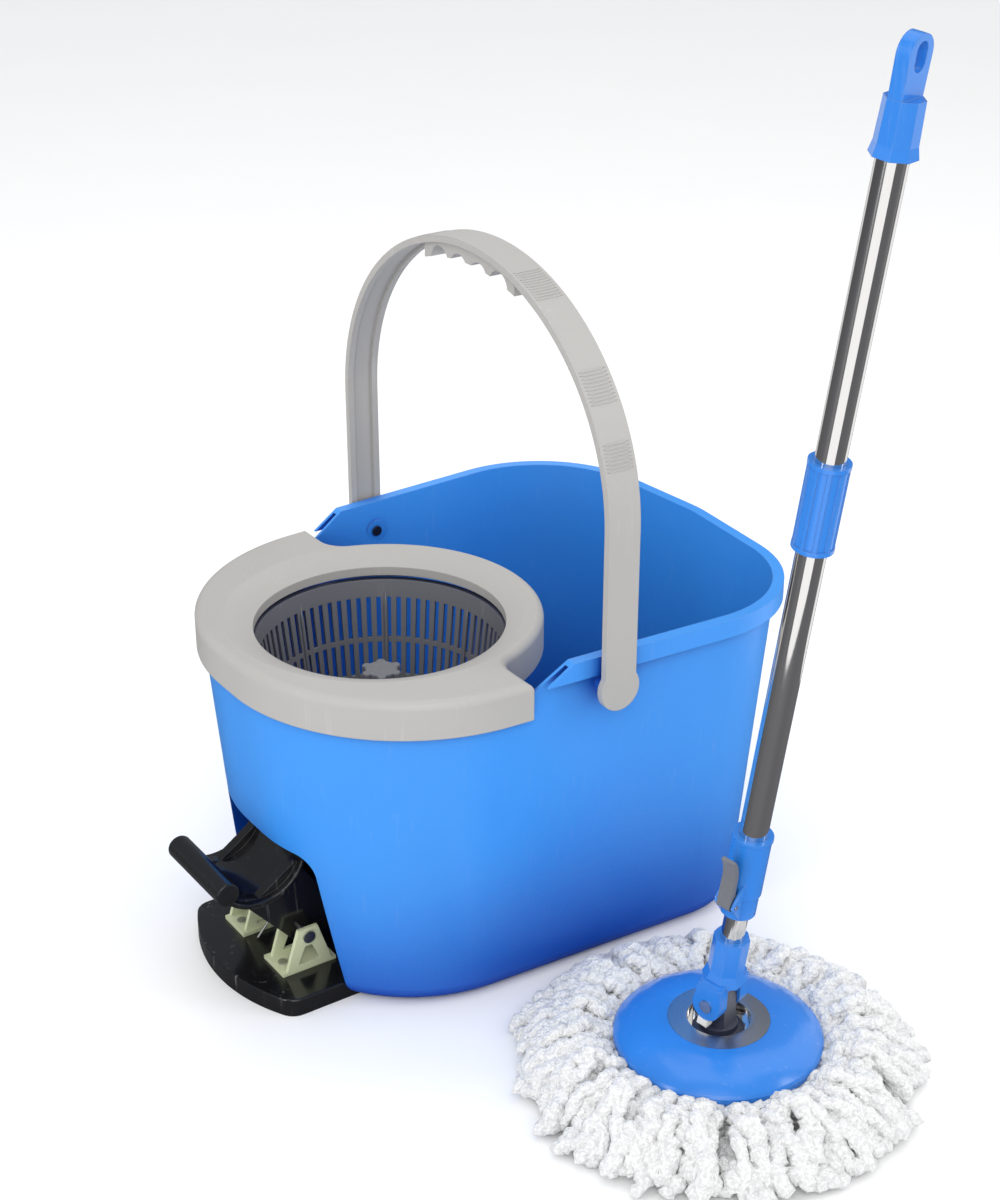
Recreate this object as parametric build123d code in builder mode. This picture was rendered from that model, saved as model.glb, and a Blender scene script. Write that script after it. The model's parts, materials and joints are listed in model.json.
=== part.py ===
"""Spin mop: pedal bucket with spin basket, and a telescopic mop standing beside it.

The origin is on the floor under the basket's spindle, +Z is up, the pedal is at -X, and the
water side of the tub runs towards +X. Millimetres throughout.
"""

import os
from math import atan, cos, degrees, pi, radians, sin, sqrt, tan

from build123d import *

os.makedirs("parts", exist_ok=True)

# ---------------------------------------------------------------- tub and deck
RIM_Z = 270.0  # top of the rolled rim
RIM_HEIGHT = 14.0
RIM_REACH = 6.0  # how far the rolled rim stands outside the wall
WALL = 2.5
TUB_BOTTOM = 2.0  # underside of the tub, carried by the rubber feet
TAPER = 4.7  # degrees of draft of every wall of the tub
# rounds whose common hull is the plan at the rim: X, distance from the middle plane, radius
PLAN_ROUNDS = [(18.0, 12.0, 140.0), (192.0, 72.0, 90.0), (199.0, 0.0, 89.0)]
NOSE_TOP = PLAN_ROUNDS[0][0] - PLAN_ROUNDS[0][2]
FAR_TOP = PLAN_ROUNDS[2][0] + PLAN_ROUNDS[2][2]
HALF_TOP = PLAN_ROUNDS[0][1] + PLAN_ROUNDS[0][2]
HALF_FAR_TOP = PLAN_ROUNDS[1][1] + PLAN_ROUNDS[1][2]
BOTTOM_ROUND = 14.0
DECK_TOP = 262.0
DECK_SKIRT_Z = 234.0  # lower edge of the deck's skirt
DECK_WALL = 3.0
DECK_GAP = 0.6  # play between the skirt and the tub's wall
DECK_END = 27.0  # where the deck's side corners end along X
DECK_BACK_RADIUS = 118.0
DECK_SEAT_Z = 251.0  # top of the tub's wall under the deck
RAMP_LENGTH = 30.0  # length of the rim's slope beside the deck
LIP_RADIUS = 91.0
LIP_Z = 253.0
LIP_DROP = 7.0

# ---------------------------------------------------------------- pedal recess
RECESS_HALF_BOTTOM = 78.0
RECESS_HALF_TOP = 64.0
RECESS_TOP = 118.0
RECESS_ROUND = 16.0
RECESS_END = 40.0
POST_RADIUS = 6.0
POST_PLACES = [(-52, 55), (-52, -55), (26, 55), (26, -55)]
SHAFT_BOSS_RADIUS = 12.0
SHAFT_BOSS_RISE = 5.0  # above the recess roof

# ---------------------------------------------------------------- base plate
BASE_HEIGHT = 14.0
BASE_HALF = 75.0
BASE_NOSE = -146.0
BASE_CORNER = -124.0
BASE_WALL = 3.0
SCREW_RADIUS = 2.0
SCREW_HEAD_RADIUS = 4.0
SCREW_HEAD = 2.4
FEET_RADIUS = 9.0
FEET_HEIGHT = 4.0
FEET_PLACES = [(215, 70), (215, -70), (95, 98), (95, -98), (-30, 96), (-30, -96)]

# ---------------------------------------------------------------- bail
BAIL_X = 88.0
BAIL_PIVOT_Z = 246.0
BAIL_INNER = 166.0  # half the clear width between the strap's legs
BAIL_THICK = 5.0
BAIL_WIDTH = 26.0
BAIL_LEG_TOP = 362.0
BAIL_APEX = 520.0
BAIL_END_RADIUS = 16.0
BAIL_CHANNEL = 2.0
BAIL_GRIP_HALF = 56.0
BAIL_GRIP_DROP = 11.0
BAIL_GRIP_WIDTH = 20.0
FINGER_RADIUS = 11.0
FINGER_DROP = 7.0  # from the grip's lower line down to the middles of the finger hollows
FINGER_PLACES = (-36.5, -12.2, 12.2, 36.5)
PIN_RADIUS = 4.0
RUNNING = 0.06  # radial play of every running pin and shaft

# ---------------------------------------------------------------- basket
BASKET_TOP = 243.0
BASKET_RADIUS = 90.0
BASKET_WALL = 2.2
BASKET_KNEE_Z = 158.0
BASKET_KNEE_RADIUS = 82.0
BASKET_FLOOR_Z = 130.0
BASKET_FLOOR_RADIUS = 60.0
BASKET_BEAD = 3.0
SLOT_COUNT = 72
SLOT_WIDTH = 3.4
SLOT_TIERS = [(163.0, 193.0), (197.0, 229.0)]
FLOOR_SLOT_COUNT = 48
HUB_FOOT_RADIUS = 34.0
HUB_NECK_RADIUS = 17.0
HUB_NECK_Z = 186.0
STAR_TOP = 214.0
STAR_RADIUS = 12.0
STAR_LOBE = 3.6
STAR_LOBES = 6

# ---------------------------------------------------------------- drive
SHAFT_RADIUS = 4.0
SHAFT_BOTTOM = 6.0
SHAFT_TOP = 176.0
BUSH_WALL = 3.0
PIVOT_X = -94.0
PIVOT_Z = 42.0
PEDAL_PIN_RADIUS = 3.0
TOOTH_MODULE = 2.0
SECTOR_TEETH = 88  # of a full circle
SPUR_TEETH = 11
CROWN_RADIUS = 26.0
BEVEL_RADIUS = 13.0
CROWN_TEETH = 26
BEVEL_TEETH = 13
BEVEL_FACE = 8.0  # length of the bevel teeth along the cone
SECTOR_Y = 36.0
SECTOR_THICK = 5.0
AXLE_RADIUS = 2.5
SECTOR_RADIUS = SECTOR_TEETH * TOOTH_MODULE / 2
SPUR_RADIUS = SPUR_TEETH * TOOTH_MODULE / 2
AXLE_Z = PIVOT_Z + sqrt((SECTOR_RADIUS + SPUR_RADIUS) ** 2 - PIVOT_X**2)
MESH_ANGLE = degrees(atan((AXLE_Z - PIVOT_Z) / -PIVOT_X))
PEDAL_TRAVEL = 26.0
CLUTCH_RADIUS = 9.0
TOOTH_ROOT = 1.15  # depth under the pitch circle, in modules
TOOTH_TIP = 0.75  # height over the pitch circle, in modules

# ---------------------------------------------------------------- pedal
PEDAL_HALF = 39.0
BAR_X = -152.0
BAR_Z = 95.0
BAR_RADIUS = 9.0
TRAY_THICK = 4.5
ARM_INNER = 26.0
ARM_THICK = SECTOR_Y - SECTOR_THICK / 2 - ARM_INNER
ARM_HUB_RADIUS = 10.0
BRACKET_THICK = 3.0
BRACKET_GAP = 4.0  # between an arm and the bracket cheek beside it
BRACKET_FLANGE = 3.0
BRACKET_HALF = 19.0
CHEEKS = (ARM_INNER - BRACKET_GAP - BRACKET_THICK, ARM_INNER + ARM_THICK + SECTOR_THICK + BRACKET_GAP)
BRACKET_SCREWS = [(PIVOT_X + dx, dy) for dx in (-15, 15) for dy in (-32, 32)]
SPUR_Y = SECTOR_Y - SECTOR_THICK / 2 - 1
CROWN_BACK = 5.0
CROWN_HUB_RADIUS = 5.0
FRAME_INNER_Y = BEVEL_RADIUS + CROWN_BACK + 4
FRAME_OUTER_Y = SPUR_Y + SECTOR_THICK + 3.5
FRAME_HALF = 15.0
FRAME_SCREWS = [(x, (FRAME_INNER_Y + BRACKET_THICK + SPUR_Y) / 2) for x in (-9, 9)]

# ---------------------------------------------------------------- mop
MOP_X = 90.0
MOP_Y = -288.0
LEAN = 7.8  # degrees from upright
LEAN_AZIMUTH = -75.0  # degrees about +Z from +X
TILT_Z = 62.0
PLATE_RADIUS = 72.0
PLATE_BOTTOM = 26.0
PLATE_CROWN = 44.0
PLATE_LIP = 5.0
CUP_RADIUS = 24.0
CUP_FLOOR = 33.0
RING_RADIUS = 35.0
RING_THICK = 1.6
YARN_RADIUS = 150.0
YARN_HEIGHT = 44.0
REFILL_INNER = 38.0
REFILL_OUTER = 54.0
REFILL_THICK = 4.0
COLLAR_RADIUS = 13.0
TONGUE_HALF = 7.0
TONGUE_RADIUS = 9.0
EAR_GAP = 0.5
EAR_THICK = 9.0
EAR_RADIUS = 11.0
TILT_PIN_RADIUS = 3.0
SOCKET_FOOT = 17.0  # above the tilt axis, along the handle
SOCKET_TOP = 52.0
SOCKET_RADIUS = 12.5
TUBE_RADIUS = 9.5
TUBE_WALL = 0.6
INNER_RADIUS = 8.0
INNER_WALL = 0.8
INNER_FOOT = 24.0
INNER_TOP = 560.0
CLAMP_FOOT = 75.0
CLAMP_STEP = 92.0
CLAMP_TOP = 138.0
CLAMP_RADIUS = 13.0
LOWER_TUBE_FOOT = 94.0
COUPLING_FOOT = 351.0
COUPLING_TOP = 409.0
COUPLING_RADIUS = 12.3
TUBE_JOIN = 380.0
GRIP_FOOT = 593.0
GRIP_TOP = 660.0
GRIP_RADIUS = 12.6
GRIP_EYE_HALF = 11.5
GRIP_EYE_THICK = 9.0
UPPER_TUBE_TOP = 622.0
LEVER_PIVOT = 90.0
LEVER_REACH = 17.0
LEVER_LENGTH = 38.0
LEVER_HALF = 5.0
LEVER_PIN_RADIUS = 1.5

CENTRED_UP = (Align.CENTER, Align.CENTER, Align.MIN)
MOP = Plane(origin=(MOP_X, MOP_Y, 0), z_dir=(0, 0, 1), x_dir=(
    sin(radians(-LEAN_AZIMUTH)), cos(radians(LEAN_AZIMUTH)), 0))
HANDLE = Plane(
    origin=(MOP_X, MOP_Y, TILT_Z),
    x_dir=(sin(radians(-LEAN_AZIMUTH)), cos(radians(LEAN_AZIMUTH)), 0),
    z_dir=(
        sin(radians(LEAN)) * cos(radians(LEAN_AZIMUTH)),
        sin(radians(LEAN)) * sin(radians(LEAN_AZIMUTH)),
        cos(radians(LEAN)),
    ),
)


def save(piece, name):
    """Label one finished piece and write its STEP file."""
    piece.part.label = name
    export_step(piece.part, f"parts/{name}.step")


# ---------------------------------------------------------------- shared shapes
def tub_plan(level, grow=0.0, height=None):
    """Face of the tub's outer plan taken at one level, moved outwards by grow."""
    change = grow - (RIM_Z - level) * tan(radians(TAPER))
    with BuildSketch(Plane.XY.offset(level if height is None else height)) as plan:
        with BuildLine():
            for x, y, radius in PLAN_ROUNDS:
                for side in (-1, 1):
                    CenterArc((x, side * y), radius + change, 0, 360)
        make_hull()
    return plan.sketch


def tub_solid(inset=0.0):
    """Solid inside the tub's outer surface moved inwards, with a rounded lower edge."""
    depth = RIM_Z - TUB_BOTTOM - inset
    with BuildPart() as solid:
        extrude(tub_plan(RIM_Z, -inset), -depth, taper=TAPER)
        fillet(solid.faces().sort_by(Axis.Z)[0].edges(), BOTTOM_ROUND - inset)
    return solid.part


def recess_section(grow=0.0):
    """Arch-shaped section of the pedal recess, seen along X."""
    with BuildSketch(Plane.YZ.offset(NOSE_TOP - RIM_REACH)) as section:
        with BuildLine():
            Polyline(
                (-RECESS_HALF_BOTTOM - grow, 0),
                (-RECESS_HALF_TOP - grow, RECESS_TOP + grow),
                (RECESS_HALF_TOP + grow, RECESS_TOP + grow),
                (RECESS_HALF_BOTTOM + grow, 0),
                close=True,
            )
        make_face()
        fillet(section.vertices().group_by(Axis.Y)[-1], RECESS_ROUND + grow)
    return section.sketch


def deck_region(end, radius):
    """Plan region under the deck: the pedal end plus the round behind the basket."""
    with BuildSketch() as region:
        with Locations((NOSE_TOP * 2, 0)):
            Rectangle(end - NOSE_TOP * 2, HALF_FAR_TOP * 4, align=(Align.MIN, Align.CENTER))
        Circle(radius)
        corner = [v for v in region.vertices() if v.Y**2 < (radius + 1) ** 2 and v.X > 0]
        fillet(corner, DECK_BACK_RADIUS / 6)
    return region.sketch


def gear_face(teeth, module, start, indices, blank):
    """Straight-sided gear outline about the origin, with tooth 0 centred at angle start."""
    pitch_radius = teeth * module / 2
    step = 2 * pi / teeth
    root = pitch_radius - TOOTH_ROOT * module
    tip = pitch_radius + TOOTH_TIP * module
    arc = step * pitch_radius
    with BuildSketch() as tooth:
        with BuildLine():
            Polyline(
                (root - 0.6, -0.30 * arc),
                (pitch_radius, -0.20 * arc),
                (tip, -0.11 * arc),
                (tip, 0.11 * arc),
                (pitch_radius, 0.20 * arc),
                (root - 0.6, 0.30 * arc),
                close=True,
            )
        make_face()
    with BuildSketch() as gear:
        add(blank)
        for index in indices:
            add(tooth.sketch, rotation=start + degrees(index * step))
    return gear.sketch


def sleeve(plane, outer, bore, length):
    """Plain round sleeve standing on a plane."""
    with BuildPart(plane) as piece:
        Cylinder(outer, length, align=CENTRED_UP)
        Cylinder(bore, length, align=CENTRED_UP, mode=Mode.SUBTRACT)
    return piece


# ================================================================ bucket
with BuildPart() as bucket_tub:
    add(tub_solid())
    add(tub_solid(WALL), mode=Mode.SUBTRACT)
    # the pedal recess is moulded up into the floor
    with BuildPart(mode=Mode.PRIVATE) as recess_housing:
        extrude(recess_section(WALL), RECESS_END + WALL - NOSE_TOP + RIM_REACH)
        add(tub_solid(WALL / 2), mode=Mode.INTERSECT)
    add(recess_housing.part)
    with Locations((0, 0, RECESS_TOP)):
        Cylinder(SHAFT_BOSS_RADIUS, SHAFT_BOSS_RISE + WALL, align=CENTRED_UP)
    extrude(recess_section(), RECESS_END - NOSE_TOP + RIM_REACH, mode=Mode.SUBTRACT)
    with Locations([(x, y, BASE_HEIGHT) for x, y in POST_PLACES]):
        Cylinder(POST_RADIUS, RECESS_TOP + WALL / 2 - BASE_HEIGHT, align=CENTRED_UP)
    with Locations([(x, y, BASE_HEIGHT) for x, y in POST_PLACES]):
        Cylinder(SCREW_RADIUS, 3 * POST_RADIUS, align=CENTRED_UP, mode=Mode.SUBTRACT)
    with Locations((0, 0, RECESS_TOP)):
        Cylinder(SHAFT_RADIUS + BUSH_WALL, 4 * SHAFT_BOSS_RISE, mode=Mode.SUBTRACT)
    # rolled rim around the water end
    with BuildPart(mode=Mode.PRIVATE) as rim:
        extrude(tub_plan(RIM_Z, RIM_REACH), -RIM_HEIGHT)
        extrude(tub_plan(RIM_Z, RIM_REACH - WALL, height=RIM_Z - RIM_HEIGHT), RIM_HEIGHT - WALL,
                mode=Mode.SUBTRACT)
        extrude(tub_plan(RIM_Z, -WALL / 2), -RIM_HEIGHT, mode=Mode.SUBTRACT)
        with Locations((DECK_END, 0, RIM_Z - RIM_HEIGHT)):
            Box(FAR_TOP * 2, HALF_FAR_TOP * 3, RIM_HEIGHT * 2,
                align=(Align.MIN, Align.CENTER, Align.CENTER), mode=Mode.INTERSECT)
    add(rim.part)
    # lower seat for the deck, with a slope up to the rim
    with BuildSketch(Plane.XZ) as seat_side:
        with BuildLine():
            Polyline(
                (NOSE_TOP * 2, DECK_SEAT_Z),
                (DECK_END + 1, DECK_SEAT_Z),
                (DECK_END + RAMP_LENGTH, RIM_Z),
                (DECK_END + RAMP_LENGTH, RIM_Z * 2),
                (NOSE_TOP * 2, RIM_Z * 2),
                close=True,
            )
        make_face()
    extrude(amount=HALF_FAR_TOP * 2, both=True, mode=Mode.SUBTRACT)
    # pivot bosses of the bail
    for side in (-1, 1):
        with BuildSketch(Plane.XZ.offset(-side * (BAIL_INNER - 1))):
            with Locations((BAIL_X, BAIL_PIVOT_Z)):
                Circle(PIN_RADIUS + 5)
        extrude(amount=side * (BAIL_INNER - HALF_TOP))
        with BuildSketch(Plane.XZ.offset(-side * BAIL_INNER)):
            with Locations((BAIL_X, BAIL_PIVOT_Z)):
                Circle(PIN_RADIUS)
        extrude(amount=side * (BAIL_INNER / 5), mode=Mode.SUBTRACT)
    # pockets for the feet
    with Locations([(x, y, TUB_BOTTOM + WALL) for x, y in FEET_PLACES]):
        Cylinder(FEET_RADIUS + WALL, WALL, align=CENTRED_UP)
    with Locations([(x, y, 0) for x, y in FEET_PLACES]):
        Cylinder(FEET_RADIUS, FEET_HEIGHT, align=CENTRED_UP, mode=Mode.SUBTRACT)
save(bucket_tub, "bucket_tub")

with BuildPart() as rubber_feet:
    with Locations([(x, y, 0) for x, y in FEET_PLACES]):
        Cylinder(FEET_RADIUS - 0.05, FEET_HEIGHT, align=CENTRED_UP)
save(rubber_feet, "rubber_feet")

with BuildPart() as splash_deck:
    skirt_grow = DECK_GAP + DECK_WALL
    with BuildSketch(Plane.XY.offset(DECK_SKIRT_Z)) as deck_plan:
        add(tub_plan(DECK_TOP, skirt_grow, height=0))
        add(deck_region(DECK_END, DECK_BACK_RADIUS), mode=Mode.INTERSECT)
    extrude(amount=DECK_TOP - DECK_SKIRT_Z)
    fillet(splash_deck.faces().sort_by(Axis.Z)[-1].edges(), 6)
    with BuildSketch(Plane.XY.offset(DECK_SKIRT_Z)) as deck_hollow:
        add(tub_plan(DECK_TOP, DECK_GAP, height=0))
        add(deck_region(DECK_END + 1, DECK_BACK_RADIUS - DECK_WALL), mode=Mode.INTERSECT)
    extrude(amount=DECK_TOP - DECK_SKIRT_Z - DECK_WALL, mode=Mode.SUBTRACT)
    with BuildSketch(Plane.XZ) as dish:
        with BuildLine():
            Line((0, LIP_Z), (LIP_RADIUS, LIP_Z))
            ThreePointArc((LIP_RADIUS, LIP_Z), (LIP_RADIUS + 12, LIP_Z + 6),
                          (DECK_BACK_RADIUS - 6, DECK_TOP + 0.01))
            Line((DECK_BACK_RADIUS - 6, DECK_TOP + 0.01), (0, DECK_TOP + 0.01))
            Line((0, DECK_TOP + 0.01), (0, LIP_Z))
        make_face()
    revolve(axis=Axis.Z, mode=Mode.SUBTRACT)
    with Locations((0, 0, DECK_SKIRT_Z)):
        Cylinder(LIP_RADIUS, DECK_TOP, align=CENTRED_UP, mode=Mode.SUBTRACT)
    with BuildSketch(Plane.XZ) as lip:
        with BuildLine():
            Line((LIP_RADIUS, LIP_Z - LIP_DROP), (LIP_RADIUS, LIP_Z))
            ThreePointArc((LIP_RADIUS, LIP_Z), (LIP_RADIUS + 12, LIP_Z + 6),
                          (DECK_BACK_RADIUS - 6, DECK_TOP))
            Line((DECK_BACK_RADIUS - 6, DECK_TOP), (DECK_BACK_RADIUS - 6, DECK_TOP - DECK_WALL))
            ThreePointArc((DECK_BACK_RADIUS - 6, DECK_TOP - DECK_WALL),
                          (LIP_RADIUS + 12, LIP_Z + 3), (LIP_RADIUS + DECK_WALL, LIP_Z - 3))
            Line((LIP_RADIUS + DECK_WALL, LIP_Z - 3), (LIP_RADIUS + DECK_WALL, LIP_Z - LIP_DROP))
            Line((LIP_RADIUS + DECK_WALL, LIP_Z - LIP_DROP), (LIP_RADIUS, LIP_Z - LIP_DROP))
        make_face()
    revolve(axis=Axis.Z)
save(splash_deck, "splash_deck")

with BuildPart() as base_plate:
    with BuildSketch() as base_plan:
        with BuildLine():
            Line((BASE_CORNER, BASE_HALF), (RECESS_END - 1, BASE_HALF))
            Line((RECESS_END - 1, BASE_HALF), (RECESS_END - 1, -BASE_HALF))
            Line((RECESS_END - 1, -BASE_HALF), (BASE_CORNER, -BASE_HALF))
            ThreePointArc((BASE_CORNER, -BASE_HALF), (BASE_NOSE, 0), (BASE_CORNER, BASE_HALF))
        make_face()
        fillet(base_plan.vertices().group_by(Axis.X)[0], BASE_HEIGHT)
    extrude(amount=BASE_HEIGHT)
    fillet(base_plate.faces().sort_by(Axis.Z)[-1].edges(), 1.5)
    with BuildSketch() as base_hollow:
        offset(base_plan.sketch, -BASE_WALL)
    extrude(amount=BASE_HEIGHT - BASE_WALL, mode=Mode.SUBTRACT)
    with Locations([(x, y, 0) for x, y in POST_PLACES]):
        Cylinder(SCREW_HEAD_RADIUS + BASE_WALL, BASE_HEIGHT, align=CENTRED_UP)
    with Locations([(x, y, 0) for x, y in POST_PLACES]):
        CounterBoreHole(SCREW_RADIUS, SCREW_HEAD_RADIUS, BASE_HEIGHT - BASE_WALL - 2)
    with Locations([(x, y, BASE_HEIGHT) for x, y in BRACKET_SCREWS + FRAME_SCREWS]):
        Cylinder(SCREW_RADIUS, 2 * BASE_WALL, mode=Mode.SUBTRACT)
    Cylinder(SHAFT_RADIUS + BUSH_WALL + BASE_WALL + 2, BASE_HEIGHT + 6, align=CENTRED_UP)
    with Locations((0, 0, SHAFT_BOTTOM - 1)):
        Cylinder(SHAFT_RADIUS + BUSH_WALL, RIM_Z, align=CENTRED_UP, mode=Mode.SUBTRACT)
save(base_plate, "base_plate")

with BuildPart() as base_screws:
    with Locations([(x, y, BASE_HEIGHT - BASE_WALL - 2 - SCREW_HEAD) for x, y in POST_PLACES]):
        Cylinder(SCREW_HEAD_RADIUS - 0.4, SCREW_HEAD, align=CENTRED_UP)
    with Locations([(x, y, BASE_HEIGHT - BASE_WALL - 2) for x, y in POST_PLACES]):
        Cylinder(SCREW_RADIUS, 2 * POST_RADIUS, align=CENTRED_UP)
    with Locations([(x, y, BASE_HEIGHT - BASE_WALL - 2 - SCREW_HEAD) for x, y in POST_PLACES]):
        Box(SCREW_HEAD_RADIUS, 1, 1, align=CENTRED_UP, mode=Mode.SUBTRACT)
        Box(1, SCREW_HEAD_RADIUS, 1, align=CENTRED_UP, mode=Mode.SUBTRACT)
save(base_screws, "base_screws")


# ================================================================ bail
def strap_layer(outer, inner, width):
    """Layer of the strap between two depths under its outer face, centred on its width."""
    with BuildSketch(Plane.YZ.offset(BAIL_X - width / 2)) as layer:
        for depth, mode in ((outer, Mode.ADD), (inner, Mode.SUBTRACT)):
            half = BAIL_INNER + BAIL_THICK - depth
            rise = BAIL_APEX - depth - BAIL_LEG_TOP
            with BuildLine():
                Line((half, BAIL_PIVOT_Z), (half, BAIL_LEG_TOP))
                EllipticalCenterArc((0, BAIL_LEG_TOP), half, rise, arc_size=180)
                Polyline((-half, BAIL_LEG_TOP), (-half, BAIL_PIVOT_Z), (half, BAIL_PIVOT_Z))
            make_face(mode=mode)
    return extrude(layer.sketch, amount=width, mode=Mode.PRIVATE)


with BuildPart() as bail_handle:
    add(strap_layer(0, BAIL_THICK, BAIL_WIDTH))
    for side in (-1, 1):
        with BuildSketch(Plane.XZ.offset(-side * BAIL_INNER)):
            with Locations((BAIL_X, BAIL_PIVOT_Z)):
                Circle(BAIL_END_RADIUS)
        extrude(amount=-side * BAIL_THICK)
    # shallow channel along the inner face
    add(strap_layer(BAIL_THICK - BAIL_CHANNEL, BAIL_THICK, BAIL_WIDTH - 2 * BAIL_THICK),
        mode=Mode.SUBTRACT)
    # hand grip under the apex, with four finger hollows
    grip_low = BAIL_APEX - BAIL_THICK - BAIL_GRIP_DROP
    with BuildSketch(Plane.YZ.offset(BAIL_X - BAIL_GRIP_WIDTH / 2)) as grip_side:
        with Locations((0, BAIL_LEG_TOP)):
            Ellipse(BAIL_INNER + 1, BAIL_APEX - BAIL_THICK - BAIL_LEG_TOP + 1)
            Ellipse(BAIL_INNER, grip_low - BAIL_LEG_TOP, mode=Mode.SUBTRACT)
        with Locations((0, BAIL_APEX)):
            Rectangle(2 * BAIL_GRIP_HALF, BAIL_APEX - BAIL_LEG_TOP, mode=Mode.INTERSECT)
        with Locations([(y, grip_low - FINGER_DROP) for y in FINGER_PLACES]):
            Circle(FINGER_RADIUS, mode=Mode.SUBTRACT)
    extrude(amount=BAIL_GRIP_WIDTH)
    for side in (-1, 1):
        with BuildSketch(Plane.XZ.offset(-side * (BAIL_INNER - 1))):
            with Locations((BAIL_X, BAIL_PIVOT_Z)):
                Circle(PIN_RADIUS + RUNNING)
        extrude(amount=-side * (BAIL_THICK - 0.5), mode=Mode.SUBTRACT)
save(bail_handle, "bail_handle")

with BuildPart() as bail_pivots:
    for side in (-1, 1):
        with BuildSketch(Plane.XZ.offset(-side * (BAIL_INNER + BAIL_THICK - 2))):
            with Locations((BAIL_X, BAIL_PIVOT_Z)):
                Circle(PIN_RADIUS)
        extrude(amount=side * (BAIL_THICK + BAIL_INNER - HALF_TOP))
save(bail_pivots, "bail_pivots")


# ================================================================ basket
def basket_profile(inset):
    """Half section of the basket's outer surface, moved inwards."""
    floor_z = BASKET_FLOOR_Z + inset
    with BuildSketch(Plane.XZ) as profile:
        with BuildLine():
            Polyline((0, floor_z), (BASKET_FLOOR_RADIUS - inset, floor_z))
            ThreePointArc(
                (BASKET_FLOOR_RADIUS - inset, floor_z),
                (BASKET_KNEE_RADIUS - inset - 5, (floor_z + BASKET_KNEE_Z) / 2 - 3),
                (BASKET_KNEE_RADIUS - inset, BASKET_KNEE_Z),
            )
            Polyline(
                (BASKET_KNEE_RADIUS - inset, BASKET_KNEE_Z),
                (BASKET_RADIUS + BASKET_WALL - inset, BASKET_TOP),
                (0, BASKET_TOP),
                (0, floor_z),
            )
        make_face()
    return profile.sketch


with BuildPart() as spin_basket:
    revolve(basket_profile(0), axis=Axis.Z)
    with Locations((0, 0, BASKET_TOP - BASKET_BEAD)):
        Cylinder(BASKET_RADIUS + BASKET_WALL + BASKET_BEAD, BASKET_BEAD, align=CENTRED_UP)
    revolve(basket_profile(BASKET_WALL), axis=Axis.Z, mode=Mode.SUBTRACT)
    Cylinder(SHAFT_BOSS_RADIUS, BASKET_TOP, align=CENTRED_UP, mode=Mode.SUBTRACT)
    for low, high in SLOT_TIERS:
        with PolarLocations(BASKET_RADIUS, SLOT_COUNT):
            with Locations((0, 0, low)):
                Box(6 * BASKET_BEAD, SLOT_WIDTH, high - low, align=CENTRED_UP, mode=Mode.SUBTRACT)
    with PolarLocations((HUB_FOOT_RADIUS + BASKET_FLOOR_RADIUS) / 2, FLOOR_SLOT_COUNT):
        with Locations((0, 0, BASKET_FLOOR_Z - BASKET_WALL)):
            Box(BASKET_FLOOR_RADIUS - HUB_FOOT_RADIUS - 6, SLOT_WIDTH - 1, 3 * BASKET_WALL,
                align=CENTRED_UP, mode=Mode.SUBTRACT)
save(spin_basket, "spin_basket")

with BuildPart() as basket_hub:
    hub_foot = BASKET_FLOOR_Z + BASKET_WALL
    with BuildSketch(Plane.XZ):
        with BuildLine():
            Polyline((0, hub_foot), (HUB_FOOT_RADIUS, hub_foot), (HUB_FOOT_RADIUS, hub_foot + 3),
                     (HUB_FOOT_RADIUS - 6, hub_foot + 10))
            ThreePointArc((HUB_FOOT_RADIUS - 6, hub_foot + 10), (HUB_NECK_RADIUS + 4, hub_foot + 26),
                          (HUB_NECK_RADIUS + 1, HUB_NECK_Z - 8))
            Polyline((HUB_NECK_RADIUS + 1, HUB_NECK_Z - 8), (HUB_NECK_RADIUS + 5, HUB_NECK_Z - 6),
                     (HUB_NECK_RADIUS + 5, HUB_NECK_Z), (0, HUB_NECK_Z), (0, hub_foot))
        make_face()
    revolve(axis=Axis.Z)
    with BuildSketch(Plane.XY.offset(HUB_NECK_Z)):
        Circle(STAR_RADIUS)
        with PolarLocations(STAR_RADIUS, STAR_LOBES):
            Circle(STAR_LOBE)
    extrude(amount=STAR_TOP - HUB_NECK_Z)
    fillet(basket_hub.faces().sort_by(Axis.Z)[-1].edges(), 1.2)
    Cylinder(SHAFT_RADIUS, SHAFT_TOP, align=CENTRED_UP, mode=Mode.SUBTRACT)
    with Locations((0, 0, BASKET_FLOOR_Z - 0.2)):
        Cylinder(SHAFT_BOSS_RADIUS, BASKET_WALL + 0.2, align=CENTRED_UP)
    Cylinder(SHAFT_RADIUS, SHAFT_TOP, align=CENTRED_UP, mode=Mode.SUBTRACT)
save(basket_hub, "basket_hub")

# ================================================================ drive
with BuildPart(Plane.XY.offset(SHAFT_BOTTOM)) as drive_spindle:
    Cylinder(SHAFT_RADIUS, SHAFT_TOP - SHAFT_BOTTOM, align=CENTRED_UP)
    chamfer(drive_spindle.edges(), 0.5)
save(drive_spindle, "drive_spindle")

bush_bore = SHAFT_RADIUS + RUNNING
lower_bush = sleeve(Plane.XY.offset(SHAFT_BOTTOM), SHAFT_RADIUS + BUSH_WALL, bush_bore,
                    BASE_HEIGHT + 6 - SHAFT_BOTTOM)
save(lower_bush, "spindle_bush_lower")
upper_bush = sleeve(Plane.XY.offset(RECESS_TOP - 2), SHAFT_RADIUS + BUSH_WALL, bush_bore,
                    SHAFT_BOSS_RISE + 1)
save(upper_bush, "spindle_bush_upper")
seal = sleeve(Plane.XY.offset(RECESS_TOP + SHAFT_BOSS_RISE - 1), SHAFT_RADIUS + BUSH_WALL,
              bush_bore, WALL + 1)
save(seal, "spindle_seal")

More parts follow.
